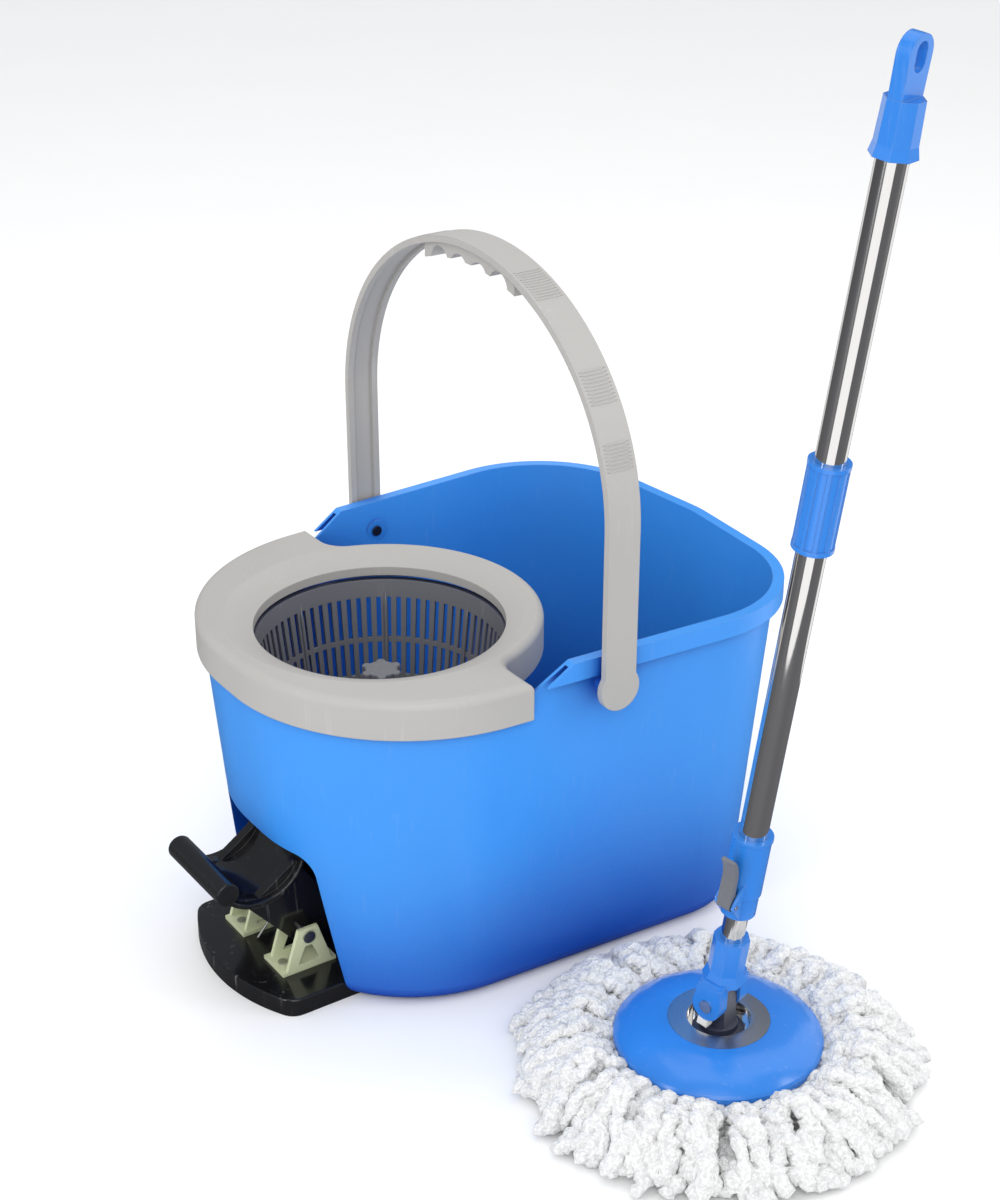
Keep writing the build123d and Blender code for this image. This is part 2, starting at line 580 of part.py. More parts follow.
# hub of the one-way clutch, pressed on the spindle, with six roller pockets
PINION_Z = AXLE_Z - CROWN_RADIUS
CLUTCH_FOOT = BASE_HEIGHT + 8
CLUTCH_HEIGHT = 10.0
ROLLER_RADIUS = 1.6
with BuildPart() as clutch_hub:
    with BuildSketch(Plane.XY.offset(CLUTCH_FOOT)):
        Circle(CLUTCH_RADIUS - 1)
        Circle(SHAFT_RADIUS, mode=Mode.SUBTRACT)
        with PolarLocations(CLUTCH_RADIUS - 1.3, 6):
            Circle(ROLLER_RADIUS + 0.1, mode=Mode.SUBTRACT)
    extrude(amount=CLUTCH_HEIGHT)
save(clutch_hub, "clutch_hub")

with BuildPart() as clutch_rollers:
    with BuildSketch(Plane.XY.offset(CLUTCH_FOOT)):
        with PolarLocations(CLUTCH_RADIUS - 1.3 - 0.1, 6):
            Circle(ROLLER_RADIUS - 0.1)
    extrude(amount=CLUTCH_HEIGHT)
save(clutch_rollers, "clutch_rollers")


def bevel_teeth(radius, apex_distance, teeth, plane, start):
    """Straight bevel teeth whose cone has its tip at the plane's origin, widening along +Z."""
    slant = sqrt(radius**2 + apex_distance**2)
    small = 1 - BEVEL_FACE / slant
    pitch = 2 * pi * radius / teeth
    lift = 0.32 * pitch / 2
    sink = 0.5 * pitch / 2
    # outward normal of the cone, in the radius-height plane
    normal = (apex_distance / slant, -radius / slant)
    sections = []
    for scale in (small, 1.0):
        base_r = radius * scale - normal[0] * sink * scale
        base_z = apex_distance * scale - normal[1] * sink * scale
        tip_r = radius * scale + normal[0] * lift * scale
        tip_z = apex_distance * scale + normal[1] * lift * scale
        foot_half = 0.24 * pitch * scale
        tip_half = 0.10 * pitch * scale
        corners = [
            plane.from_local_coords(Vector(base_r, -foot_half, base_z)),
            plane.from_local_coords(Vector(base_r, foot_half, base_z)),
            plane.from_local_coords(Vector(tip_r, tip_half, tip_z)),
            plane.from_local_coords(Vector(tip_r, -tip_half, tip_z)),
        ]
        sections.append(Face(Wire.make_polygon(corners, close=True)))
    tooth = Solid.make_loft([section.outer_wire() for section in sections], ruled=True)
    axis = Axis(plane.origin, plane.z_dir)
    return [tooth.rotate(axis, start + 360 * index / teeth) for index in range(teeth)]


def bevel_blank(radius, apex_distance, teeth, plane, back):
    """Cone blank behind bevel teeth, running on as a disc to back beyond the wide end."""
    slant = sqrt(radius**2 + apex_distance**2)
    small = 1 - BEVEL_FACE / slant
    sink = 0.42 * pi * radius / teeth
    root = radius - apex_distance / slant * sink
    root_z = apex_distance + radius / slant * sink
    with BuildPart(plane) as blank:
        with BuildSketch(Plane(plane.origin, x_dir=plane.x_dir, z_dir=-plane.y_dir)):
            with BuildLine():
                Polyline(
                    (0, root_z * small),
                    (root * small, root_z * small),
                    (root, root_z),
                    (root, root_z + back),
                    (0, root_z + back),
                    close=True,
                )
            make_face()
        revolve(axis=Axis(plane.origin, plane.z_dir))
    return blank.part


PINION_PLANE = Plane(origin=(0, 0, AXLE_Z), x_dir=(1, 0, 0), z_dir=(0, 0, -1))
CROWN_PLANE = Plane(origin=(0, 0, AXLE_Z), x_dir=(0, 0, 1), z_dir=(0, 1, 0))

with BuildPart() as clutch_pinion:
    add(bevel_blank(BEVEL_RADIUS, CROWN_RADIUS, BEVEL_TEETH, PINION_PLANE, 3))
    # the tooth gap at -90 degrees of this plane faces the crown wheel
    add(bevel_teeth(BEVEL_RADIUS, CROWN_RADIUS, BEVEL_TEETH, PINION_PLANE, 180 / BEVEL_TEETH - 90))
    with Locations((0, 0, CLUTCH_FOOT + CLUTCH_HEIGHT / 8)):
        Cylinder(CLUTCH_RADIUS + 2.5, PINION_Z - CLUTCH_FOOT - 2, align=CENTRED_UP)
    with Locations((0, 0, CLUTCH_FOOT)):
        Cylinder(CLUTCH_RADIUS + 0.3, CLUTCH_HEIGHT + 0.4, align=CENTRED_UP, mode=Mode.SUBTRACT)
    Cylinder(SHAFT_RADIUS + RUNNING, 2 * AXLE_Z, align=CENTRED_UP, mode=Mode.SUBTRACT)
save(clutch_pinion, "clutch_pinion")

with BuildPart() as crown_gear:
    add(bevel_blank(CROWN_RADIUS, BEVEL_RADIUS, CROWN_TEETH, CROWN_PLANE, CROWN_BACK))
    add(bevel_teeth(CROWN_RADIUS, BEVEL_RADIUS, CROWN_TEETH, CROWN_PLANE, 180))
    with BuildSketch(Plane(origin=(0, BEVEL_RADIUS, AXLE_Z), x_dir=(0, 0, 1), z_dir=(0, 1, 0))):
        Circle(CROWN_HUB_RADIUS)
    extrude(amount=SPUR_Y - BEVEL_RADIUS)
    with BuildSketch(Plane(origin=(0, SPUR_Y, AXLE_Z), x_dir=(0, 0, 1), z_dir=(0, 1, 0))):
        spur_start = 180 / SPUR_TEETH - 90 - MESH_ANGLE
        with BuildSketch(mode=Mode.PRIVATE) as spur_blank:
            Circle(SPUR_RADIUS - TOOTH_ROOT * TOOTH_MODULE + 0.3)
        add(gear_face(SPUR_TEETH, TOOTH_MODULE, spur_start, range(SPUR_TEETH), spur_blank.sketch))
    extrude(amount=SECTOR_THICK + 2)
    with BuildSketch(Plane(origin=(0, 0, AXLE_Z), x_dir=(0, 0, 1), z_dir=(0, 1, 0))):
        Circle(AXLE_RADIUS)
    extrude(amount=BASE_HALF, mode=Mode.SUBTRACT)
save(crown_gear, "crown_gear")

with BuildPart() as gear_axle:
    with BuildSketch(Plane(origin=(0, SHAFT_RADIUS + 3.5, AXLE_Z), z_dir=(0, 1, 0))):
        Circle(AXLE_RADIUS)
    extrude(amount=BASE_HALF - 2 * ARM_INNER + SPUR_Y - BRACKET_THICK)
save(gear_axle, "gear_axle")

with BuildPart() as gear_frame:
    for cheek, journal in ((FRAME_INNER_Y, CROWN_HUB_RADIUS), (FRAME_OUTER_Y, AXLE_RADIUS)):
        with BuildSketch(Plane.XZ.offset(-cheek)) as frame_side:
            with BuildLine():
                Polyline(
                    (-FRAME_HALF, BASE_HEIGHT),
                    (FRAME_HALF, BASE_HEIGHT),
                    (journal + 3.5, AXLE_Z + journal + 3),
                    (-journal - 3.5, AXLE_Z + journal + 3),
                    close=True,
                )
            make_face()
            with Locations((0, BASE_HEIGHT + 18)):
                Circle(AXLE_RADIUS * 3, mode=Mode.SUBTRACT)
            with Locations((0, AXLE_Z)):
                Circle(journal + RUNNING, mode=Mode.SUBTRACT)
        extrude(amount=-BRACKET_THICK)
    frame_depth = FRAME_OUTER_Y + BRACKET_THICK - FRAME_INNER_Y
    with Locations((0, FRAME_INNER_Y, BASE_HEIGHT)):
        Box(2 * FRAME_HALF, frame_depth, BRACKET_FLANGE, align=(Align.CENTER, Align.MIN, Align.MIN))
    with Locations([(x, y, 0) for x, y in FRAME_SCREWS]):
        Cylinder(SCREW_RADIUS, 2 * BASE_HEIGHT, align=CENTRED_UP, mode=Mode.SUBTRACT)
save(gear_frame, "gear_frame")

# ================================================================ pedal
PIVOT_SIDE = Plane(origin=(PIVOT_X, 0, PIVOT_Z), x_dir=(0, 0, 1), z_dir=(0, 1, 0))
with BuildPart() as sector_gear:
    step = 360 / SECTOR_TEETH
    sector_indices = range(-2, 8)
    mesh_turn = 90 - MESH_ANGLE
    low_turn = radians(mesh_turn + (sector_indices[0] - 0.5) * step)
    high_turn = radians(mesh_turn + (sector_indices[-1] + 0.5) * step)
    web_radius = SECTOR_RADIUS - TOOTH_ROOT * TOOTH_MODULE + 0.3
    with BuildSketch(mode=Mode.PRIVATE) as sector_web:
        with BuildLine():
            Polyline(
                (0, 0),
                (2 * web_radius * cos(low_turn), 2 * web_radius * sin(low_turn)),
                (2 * web_radius * cos(high_turn), 2 * web_radius * sin(high_turn)),
                close=True,
            )
        make_face()
        Circle(web_radius, mode=Mode.INTERSECT)
        Circle(ARM_HUB_RADIUS)
    with BuildSketch(Plane(origin=(PIVOT_X, ARM_INNER + ARM_THICK, PIVOT_Z), x_dir=(0, 0, 1),
                           z_dir=(0, 1, 0))):
        add(gear_face(SECTOR_TEETH, TOOTH_MODULE, mesh_turn, sector_indices, sector_web.sketch))
        Circle(PEDAL_PIN_RADIUS + RUNNING, mode=Mode.SUBTRACT)
        middle = (low_turn + high_turn) / 2
        with Locations([(r * cos(middle), r * sin(middle)) for r in (14, 26)]):
            Circle(SCREW_RADIUS, mode=Mode.SUBTRACT)
        with Locations((0.68 * web_radius * cos(middle), 0.68 * web_radius * sin(middle))):
            Circle(ARM_HUB_RADIUS, mode=Mode.SUBTRACT)
    extrude(amount=SECTOR_THICK)
save(sector_gear, "sector_gear")
SECTOR_SCREWS = [
    (PIVOT_X + r * sin(middle), PIVOT_Z + r * cos(middle)) for r in (14, 26)
]

with BuildPart() as sector_screws:
    with BuildSketch(Plane(origin=(0, ARM_INNER + 1, 0), x_dir=(-1, 0, 0), z_dir=(0, 1, 0))):
        with Locations([(-x, z) for x, z in SECTOR_SCREWS]):
            Circle(SCREW_RADIUS)
    extrude(amount=ARM_THICK + SECTOR_THICK - 1)
    with BuildSketch(Plane(origin=(0, ARM_INNER + ARM_THICK + SECTOR_THICK, 0), x_dir=(-1, 0, 0),
                           z_dir=(0, 1, 0))):
        with Locations([(-x, z) for x, z in SECTOR_SCREWS]):
            Circle(SCREW_HEAD_RADIUS - 1)
    extrude(amount=1.2)
save(sector_screws, "sector_screws")

TRAY_LOW = (-126.0, 80.0)
TRAY_END = (-92.0, 105.0)
with BuildPart() as pedal_lever:
    with BuildSketch(Plane.XZ) as tray_side:
        with BuildLine():
            ThreePointArc((BAR_X, BAR_Z - 3), TRAY_LOW, TRAY_END)
            Line(TRAY_END, (TRAY_END[0] + 1, TRAY_END[1] - TRAY_THICK))
            ThreePointArc((TRAY_END[0] + 1, TRAY_END[1] - TRAY_THICK),
                          (TRAY_LOW[0] + 1, TRAY_LOW[1] - TRAY_THICK),
                          (BAR_X, BAR_Z - BAR_RADIUS + 0.5))
            Line((BAR_X, BAR_Z - BAR_RADIUS + 0.5), (BAR_X, BAR_Z - 3))
        make_face()
        with Locations((BAR_X, BAR_Z)):
            Circle(BAR_RADIUS)
    extrude(amount=PEDAL_HALF, both=True)
    fillet(pedal_lever.faces().filter_by(GeomType.PLANE).sort_by(Axis.Y)[0].edges(), 1.2)
    fillet(pedal_lever.faces().filter_by(GeomType.PLANE).sort_by(Axis.Y)[-1].edges(), 1.2)
    for side in (-1, 1):
        with BuildSketch(Plane.XZ.offset(-side * ARM_INNER)) as arm_side:
            with BuildLine():
                Polyline(
                    (BAR_X + 8, BAR_Z - 10),
                    TRAY_LOW,
                    (TRAY_END[0] - 3, TRAY_END[1] - 4),
                    (PIVOT_X + 30, PIVOT_Z + 10),
                    (PIVOT_X + 30, PIVOT_Z - 6),
                    (PIVOT_X + 2, PIVOT_Z - ARM_HUB_RADIUS),
                    (PIVOT_X - 9, PIVOT_Z - 4),
                    close=True,
                )
            make_face()
            with Locations((PIVOT_X, PIVOT_Z)):
                Circle(ARM_HUB_RADIUS)
                Circle(PEDAL_PIN_RADIUS + RUNNING, mode=Mode.SUBTRACT)
            with Locations(SECTOR_SCREWS if side > 0 else []):
                Circle(SCREW_RADIUS, mode=Mode.SUBTRACT)
        extrude(amount=-side * ARM_THICK)
    # cross rib under the tray
    with Locations((TRAY_LOW[0] + 14, 0, TRAY_LOW[1] - 6)):
        Box(3, 2 * ARM_INNER + 2, 14)
save(pedal_lever, "pedal_lever")

with BuildPart() as pedal_bracket:
    with Locations((PIVOT_X, 0, BASE_HEIGHT)):
        Box(2 * BRACKET_HALF + 6, 2 * (CHEEKS[1] + BRACKET_THICK), BRACKET_FLANGE, align=CENTRED_UP)
        Box(2 * BRACKET_HALF + 6, 2 * CHEEKS[0] - 6, BRACKET_FLANGE, align=CENTRED_UP,
            mode=Mode.SUBTRACT)
    with Locations((PIVOT_X + BRACKET_HALF, 0, BASE_HEIGHT)):
        Box(6, 2 * CHEEKS[0], BRACKET_FLANGE, align=CENTRED_UP)
    for side in (-1, 1):
        for cheek in CHEEKS:
            with BuildSketch(Plane.XZ.offset(-side * cheek)) as cheek_side:
                with BuildLine():
                    Polyline(
                        (PIVOT_X - BRACKET_HALF, BASE_HEIGHT + 1),
                        (PIVOT_X + BRACKET_HALF, BASE_HEIGHT + 1),
                        (PIVOT_X + 8, PIVOT_Z + 7),
                        (PIVOT_X - 8, PIVOT_Z + 7),
                        close=True,
                    )
                make_face()
                with BuildLine():
                    Polyline(
                        (PIVOT_X - 9, BASE_HEIGHT + BRACKET_FLANGE + 3),
                        (PIVOT_X + 9, BASE_HEIGHT + BRACKET_FLANGE + 3),
                        (PIVOT_X + 3, PIVOT_Z - 8),
                        (PIVOT_X - 3, PIVOT_Z - 8),
                        close=True,
                    )
                make_face(mode=Mode.SUBTRACT)
                with Locations((PIVOT_X, PIVOT_Z)):
                    Circle(PEDAL_PIN_RADIUS, mode=Mode.SUBTRACT)
            extrude(amount=-side * BRACKET_THICK)
    with Locations([(x, y, 0) for x, y in BRACKET_SCREWS]):
        Cylinder(SCREW_RADIUS, 2 * BASE_HEIGHT, align=CENTRED_UP, mode=Mode.SUBTRACT)
save(pedal_bracket, "pedal_bracket")

with BuildPart() as bracket_screws:
    screw_tops = [(x, y, BASE_HEIGHT + BRACKET_FLANGE) for x, y in BRACKET_SCREWS + FRAME_SCREWS]
    with Locations(screw_tops):
        Cylinder(SCREW_RADIUS + 1.4, 1.4, align=CENTRED_UP)
    with Locations([(x, y, BASE_HEIGHT + 1 - BASE_WALL) for x, y, z in screw_tops]):
        Cylinder(SCREW_RADIUS, BASE_WALL + BRACKET_FLANGE, align=CENTRED_UP)
save(bracket_screws, "bracket_screws")

PIN_HALF = CHEEKS[1] + BRACKET_THICK
with BuildPart() as pedal_pin:
    with BuildSketch(Plane.XZ.offset(-PIN_HALF - 1)):
        with Locations((PIVOT_X, PIVOT_Z)):
            Circle(PEDAL_PIN_RADIUS)
    extrude(amount=2 * PIN_HALF + 1)
    with BuildSketch(Plane.XZ.offset(PIN_HALF)):
        with Locations((PIVOT_X, PIVOT_Z)):
            Circle(PEDAL_PIN_RADIUS + 1.8)
    extrude(amount=1.8)
save(pedal_pin, "pedal_pin")

SPRING_WIRE = 0.9
SPRING_COIL = 5.5
SPRING_PITCH = 2.4
SPRING_TURNS = 5.244
SPRING_START = 51.9  # turns the coil so that its lower leg reaches down to the base plate
SPRING_LEGS = (-29.7, 29.6)  # lengths of the leg before the coil and of the one after it
with BuildPart() as return_spring:
    coil = Helix(SPRING_PITCH, SPRING_TURNS * SPRING_PITCH, SPRING_COIL, direction=(0, -1, 0),
                 center=(PIVOT_X, SPRING_TURNS * SPRING_PITCH / 2, PIVOT_Z), mode=Mode.PRIVATE)
    coil = coil.rotate(Axis((PIVOT_X, 0, PIVOT_Z), (0, -1, 0)), SPRING_START)
    with BuildSketch(Plane(coil @ 0, z_dir=coil % 0)):
        Circle(SPRING_WIRE)
    sweep(path=coil, is_frenet=True)
    for end, reach in zip((0, 1), SPRING_LEGS):
        with BuildSketch(Plane(coil @ end, z_dir=coil % end)):
            Circle(SPRING_WIRE)
        extrude(amount=reach)
save(return_spring, "return_spring")

# ================================================================ mop head
MOP_SECTION = Plane(origin=MOP.origin, x_dir=MOP.x_dir, z_dir=-MOP.y_dir)
MOP_AXIS = Axis(MOP.origin, (0, 0, 1))
SIDE = Plane(origin=HANDLE.origin, x_dir=HANDLE.y_dir, z_dir=HANDLE.x_dir)
KNUCKLE_SIDE = Plane(origin=HANDLE.origin, x_dir=MOP.y_dir, z_dir=MOP.x_dir)


def turned(points, curve_from=None, curve_via=None, curve_to=None):
    """Solid of revolution about the mop head's axis from radius-height points."""
    with BuildPart() as solid:
        with BuildSketch(MOP_SECTION):
            with BuildLine():
                Polyline(*points)
                if curve_via:
                    ThreePointArc(curve_from, curve_via, curve_to)
                else:
                    Line(points[-1], points[0])
            make_face()
        revolve(axis=MOP_AXIS)
    return solid


STUB_RADIUS = 5.0
NUT_POCKET = 12.0
PLATE_RIM_Z = PLATE_BOTTOM + PLATE_LIP + 2
RING_SEAT_Z = PLATE_CROWN - RING_THICK
with BuildPart() as head_plate:
    add(turned(
        [
            (RING_RADIUS, PLATE_CROWN), (RING_RADIUS, RING_SEAT_Z), (CUP_RADIUS, RING_SEAT_Z),
            (CUP_RADIUS, CUP_FLOOR - 1), (STUB_RADIUS + RUNNING, CUP_FLOOR - 1),
            (STUB_RADIUS + RUNNING, PLATE_BOTTOM + 3), (NUT_POCKET, PLATE_BOTTOM + 3),
            (NUT_POCKET, PLATE_BOTTOM), (PLATE_RADIUS - 5, PLATE_BOTTOM),
            (PLATE_RADIUS - 5, PLATE_BOTTOM - 1), (PLATE_RADIUS - 1, PLATE_BOTTOM - 1),
            (PLATE_RADIUS, PLATE_BOTTOM + 1), (PLATE_RADIUS, PLATE_BOTTOM + PLATE_LIP),
            (PLATE_RADIUS - 1.5, PLATE_RIM_Z),
        ],
        (PLATE_RADIUS - 1.5, PLATE_RIM_Z),
        ((PLATE_RADIUS + RING_RADIUS) / 2 + 2, PLATE_CROWN - 3),
        (RING_RADIUS, PLATE_CROWN),
    ).part)
save(head_plate, "head_plate")

with BuildPart() as bearing_ring:
    add(turned([
        (CUP_RADIUS - 2, RING_SEAT_Z), (RING_RADIUS - 0.1, RING_SEAT_Z),
        (RING_RADIUS - 0.1, PLATE_CROWN), (CUP_RADIUS, PLATE_CROWN + 0.6),
        (CUP_RADIUS - 2, PLATE_CROWN + 0.6),
    ]).part)
save(bearing_ring, "bearing_ring")

with BuildPart() as bearing_cup:
    add(turned([
        (STUB_RADIUS + RUNNING, CUP_FLOOR - 1), (CUP_RADIUS, CUP_FLOOR - 1),
        (CUP_RADIUS, RING_SEAT_Z), (CUP_RADIUS - 1.5, RING_SEAT_Z),
        (CUP_RADIUS - 1.5, CUP_FLOOR), (STUB_RADIUS + RUNNING, CUP_FLOOR),
    ]).part)
save(bearing_cup, "bearing_cup")

with BuildPart() as refill_ring:
    add(turned([
        (REFILL_INNER, PLATE_BOTTOM - REFILL_THICK), (REFILL_OUTER, PLATE_BOTTOM - REFILL_THICK),
        (REFILL_OUTER, PLATE_BOTTOM), (REFILL_INNER, PLATE_BOTTOM),
    ]).part)
    with BuildSketch(Plane(origin=(MOP_X, MOP_Y, PLATE_BOTTOM - 2 * REFILL_THICK))):
        with PolarLocations(REFILL_OUTER - 5, 24):
            Rectangle(2.4, 6)
    extrude(amount=3 * REFILL_THICK, mode=Mode.SUBTRACT)
save(refill_ring, "refill_ring")

with BuildPart() as yarn_head:
    add(turned([
        (REFILL_INNER, 0), (YARN_RADIUS - 6, 0), (YARN_RADIUS, 6), (YARN_RADIUS - 2, 18),
        (YARN_RADIUS - 16, 33), (YARN_RADIUS - 38, YARN_HEIGHT - 1), (YARN_RADIUS - 60, YARN_HEIGHT),
        (PLATE_RADIUS + 6, PLATE_RIM_Z + 5), (PLATE_RADIUS + 2, PLATE_BOTTOM),
        (PLATE_RADIUS + 2, PLATE_BOTTOM - 1.5), (REFILL_OUTER + 1, PLATE_BOTTOM - 1.5),
        (REFILL_OUTER + 1, PLATE_BOTTOM - REFILL_THICK), (REFILL_INNER, PLATE_BOTTOM - REFILL_THICK),
    ]).part)
save(yarn_head, "yarn_head")

KNUCKLE_FOOT = CUP_FLOOR + 0.4
COLLAR_TOP = PLATE_CROWN - 2
with BuildPart() as knuckle:
    add(turned([
        (0, PLATE_BOTTOM + 2.6), (STUB_RADIUS, PLATE_BOTTOM + 2.6), (STUB_RADIUS, KNUCKLE_FOOT),
        (COLLAR_RADIUS + 5, KNUCKLE_FOOT), (COLLAR_RADIUS + 5, KNUCKLE_FOOT + 3),
        (COLLAR_RADIUS, KNUCKLE_FOOT + 4), (COLLAR_RADIUS, COLLAR_TOP), (0, COLLAR_TOP),
    ]).part)
    with BuildSketch(KNUCKLE_SIDE) as tongue:
        Circle(TONGUE_RADIUS)
        with Locations((0, (COLLAR_TOP - TILT_Z - 1) / 2)):
            Rectangle(2 * TONGUE_RADIUS, TILT_Z - COLLAR_TOP + 1)
    extrude(amount=TONGUE_HALF, both=True)
    with BuildSketch(KNUCKLE_SIDE):
        Circle(TILT_PIN_RADIUS + RUNNING)
    extrude(amount=TONGUE_RADIUS, both=True, mode=Mode.SUBTRACT)
    with Locations((MOP_X, MOP_Y, PLATE_BOTTOM)):
        Cylinder(SCREW_RADIUS, 12, align=CENTRED_UP, mode=Mode.SUBTRACT)
save(knuckle, "knuckle")

with BuildPart(Plane(origin=(MOP_X, MOP_Y, PLATE_BOTTOM + 2.6 - 1.5))) as swivel_screw:
    Cylinder(NUT_POCKET - 3, 1.5, align=CENTRED_UP)
    Cylinder(SCREW_RADIUS, 10, align=CENTRED_UP)
    with Locations((0, 0, -2)):
        Cylinder(SCREW_HEAD_RADIUS, 2, align=CENTRED_UP)
save(swivel_screw, "swivel_screw")

# ================================================================ mop handle
EAR_INNER = TONGUE_HALF + EAR_GAP
with BuildPart() as fork_socket:
    for side in (-1, 1):
        with BuildSketch(SIDE.offset(side * EAR_INNER)):
            with BuildLine():
                CenterArc((0, 0), EAR_RADIUS, 0, 360)
                Polyline((-EAR_RADIUS + 2, SOCKET_FOOT), (EAR_RADIUS - 2, SOCKET_FOOT))
            make_hull()
        extrude(amount=side * EAR_THICK)
    with BuildSketch(HANDLE.offset(SOCKET_FOOT - 5)):
        RectangleRounded(2 * (EAR_INNER + EAR_THICK), 2 * (EAR_RADIUS - 2), 4)
    extrude(amount=8)
    with BuildSketch(HANDLE.offset(SOCKET_FOOT)):
        RegularPolygon(SOCKET_RADIUS + 3, 8, rotation=22.5)
    with BuildSketch(HANDLE.offset(SOCKET_FOOT + 8)):
        RegularPolygon(SOCKET_RADIUS, 8, rotation=22.5)
    loft()
    with BuildSketch(HANDLE.offset(SOCKET_FOOT + 8)):
        RegularPolygon(SOCKET_RADIUS, 8, rotation=22.5)
    extrude(amount=SOCKET_TOP - SOCKET_FOOT - 8)
    with BuildSketch(HANDLE.offset(INNER_FOOT)):
        Circle(INNER_RADIUS)
    extrude(amount=SOCKET_TOP, mode=Mode.SUBTRACT)
    with BuildSketch(SIDE):
        Circle(TILT_PIN_RADIUS)
    extrude(amount=2 * EAR_THICK + EAR_INNER, both=True, mode=Mode.SUBTRACT)
save(fork_socket, "fork_socket")

with BuildPart() as tilt_pin:
    with BuildSketch(SIDE):
        Circle(TILT_PIN_RADIUS)
    extrude(amount=EAR_INNER + EAR_THICK, both=True)
    for side in (-1, 1):
        with BuildSketch(SIDE.offset(side * (EAR_INNER + EAR_THICK))):
            Circle(TILT_PIN_RADIUS + 1.5)
        extrude(amount=side * 1.2)
save(tilt_pin, "tilt_pin")

with BuildPart() as lock_pads:
    for side in (-1, 1):
        with BuildSketch(SIDE.offset(side * (EAR_INNER + 3))):
            with Locations((0, -EAR_RADIUS - 1.5)):
                Rectangle(8, 7)
            Circle(EAR_RADIUS, mode=Mode.SUBTRACT)
        extrude(amount=side * (EAR_THICK - 2))
save(lock_pads, "lock_pads")

inner_tube = sleeve(HANDLE.offset(INNER_FOOT), INNER_RADIUS, INNER_RADIUS - INNER_WALL,
                    INNER_TOP - INNER_FOOT)
save(inner_tube, "inner_tube")

TUBE_BORE = TUBE_RADIUS - TUBE_WALL
with BuildPart(HANDLE.offset(INNER_TOP - 14)) as tube_plug:
    Cylinder(TUBE_BORE - RUNNING, 18, align=CENTRED_UP)
    Cylinder(INNER_RADIUS, 14, align=CENTRED_UP, mode=Mode.SUBTRACT)
save(tube_plug, "tube_plug")

lower_tube = sleeve(HANDLE.offset(LOWER_TUBE_FOOT), TUBE_RADIUS, TUBE_BORE,
                    TUBE_JOIN - LOWER_TUBE_FOOT)
save(lower_tube, "lower_tube")
upper_tube = sleeve(HANDLE.offset(TUBE_JOIN), TUBE_RADIUS, TUBE_BORE, UPPER_TUBE_TOP - TUBE_JOIN)
save(upper_tube, "upper_tube")

with BuildPart() as tube_coupling:
    coupling_length = COUPLING_TOP - COUPLING_FOOT
    with BuildSketch(HANDLE.offset(COUPLING_FOOT)):
        Circle(COUPLING_RADIUS)
        with PolarLocations(COUPLING_RADIUS, 10):
            Rectangle(1.2, 2.6)
    extrude(amount=coupling_length)
    for foot in (COUPLING_FOOT, COUPLING_TOP - 3):
        with BuildSketch(HANDLE.offset(foot)):
            Circle(COUPLING_RADIUS + 0.9)
        extrude(amount=3)
    with BuildSketch(HANDLE.offset(COUPLING_FOOT)):
        Circle(TUBE_RADIUS)
    extrude(amount=coupling_length, mode=Mode.SUBTRACT)
save(tube_coupling, "tube_coupling")

with BuildPart() as grip:
    with BuildSketch(HANDLE.offset(GRIP_FOOT)):
        RegularPolygon(GRIP_RADIUS + 1.6, 8, rotation=22.5)
    with BuildSketch(HANDLE.offset(GRIP_FOOT + 7)):
        RegularPolygon(GRIP_RADIUS, 8, rotation=22.5)
    loft()
    with BuildSketch(HANDLE.offset(GRIP_FOOT + 7)):
        RegularPolygon(GRIP_RADIUS, 8, rotation=22.5)
    with BuildSketch(HANDLE.offset(UPPER_TUBE_TOP + 3)):
        RegularPolygon(GRIP_RADIUS - 0.8, 8, rotation=22.5)
    loft()
    with BuildSketch(Plane(origin=HANDLE.origin, x_dir=HANDLE.x_dir, z_dir=-HANDLE.y_dir)) as eye:
        with BuildLine():
            CenterArc((0, GRIP_TOP - GRIP_EYE_HALF), GRIP_EYE_HALF, 0, 360)
            Polyline((-GRIP_RADIUS + 2, UPPER_TUBE_TOP + 1), (GRIP_RADIUS - 2, UPPER_TUBE_TOP + 1))
        make_hull()
    extrude(amount=GRIP_EYE_THICK / 2, both=True)
    with BuildSketch(Plane(origin=HANDLE.origin, x_dir=HANDLE.x_dir, z_dir=-HANDLE.y_dir)):
        with Locations((0, GRIP_TOP - GRIP_EYE_HALF - 1)):
            SlotOverall(17, 11, rotation=90)
    extrude(amount=GRIP_RADIUS, both=True, mode=Mode.SUBTRACT)
    with BuildSketch(HANDLE.offset(GRIP_FOOT)):
        Circle(TUBE_RADIUS)
    extrude(amount=UPPER_TUBE_TOP - GRIP_FOOT, mode=Mode.SUBTRACT)
save(grip, "grip")

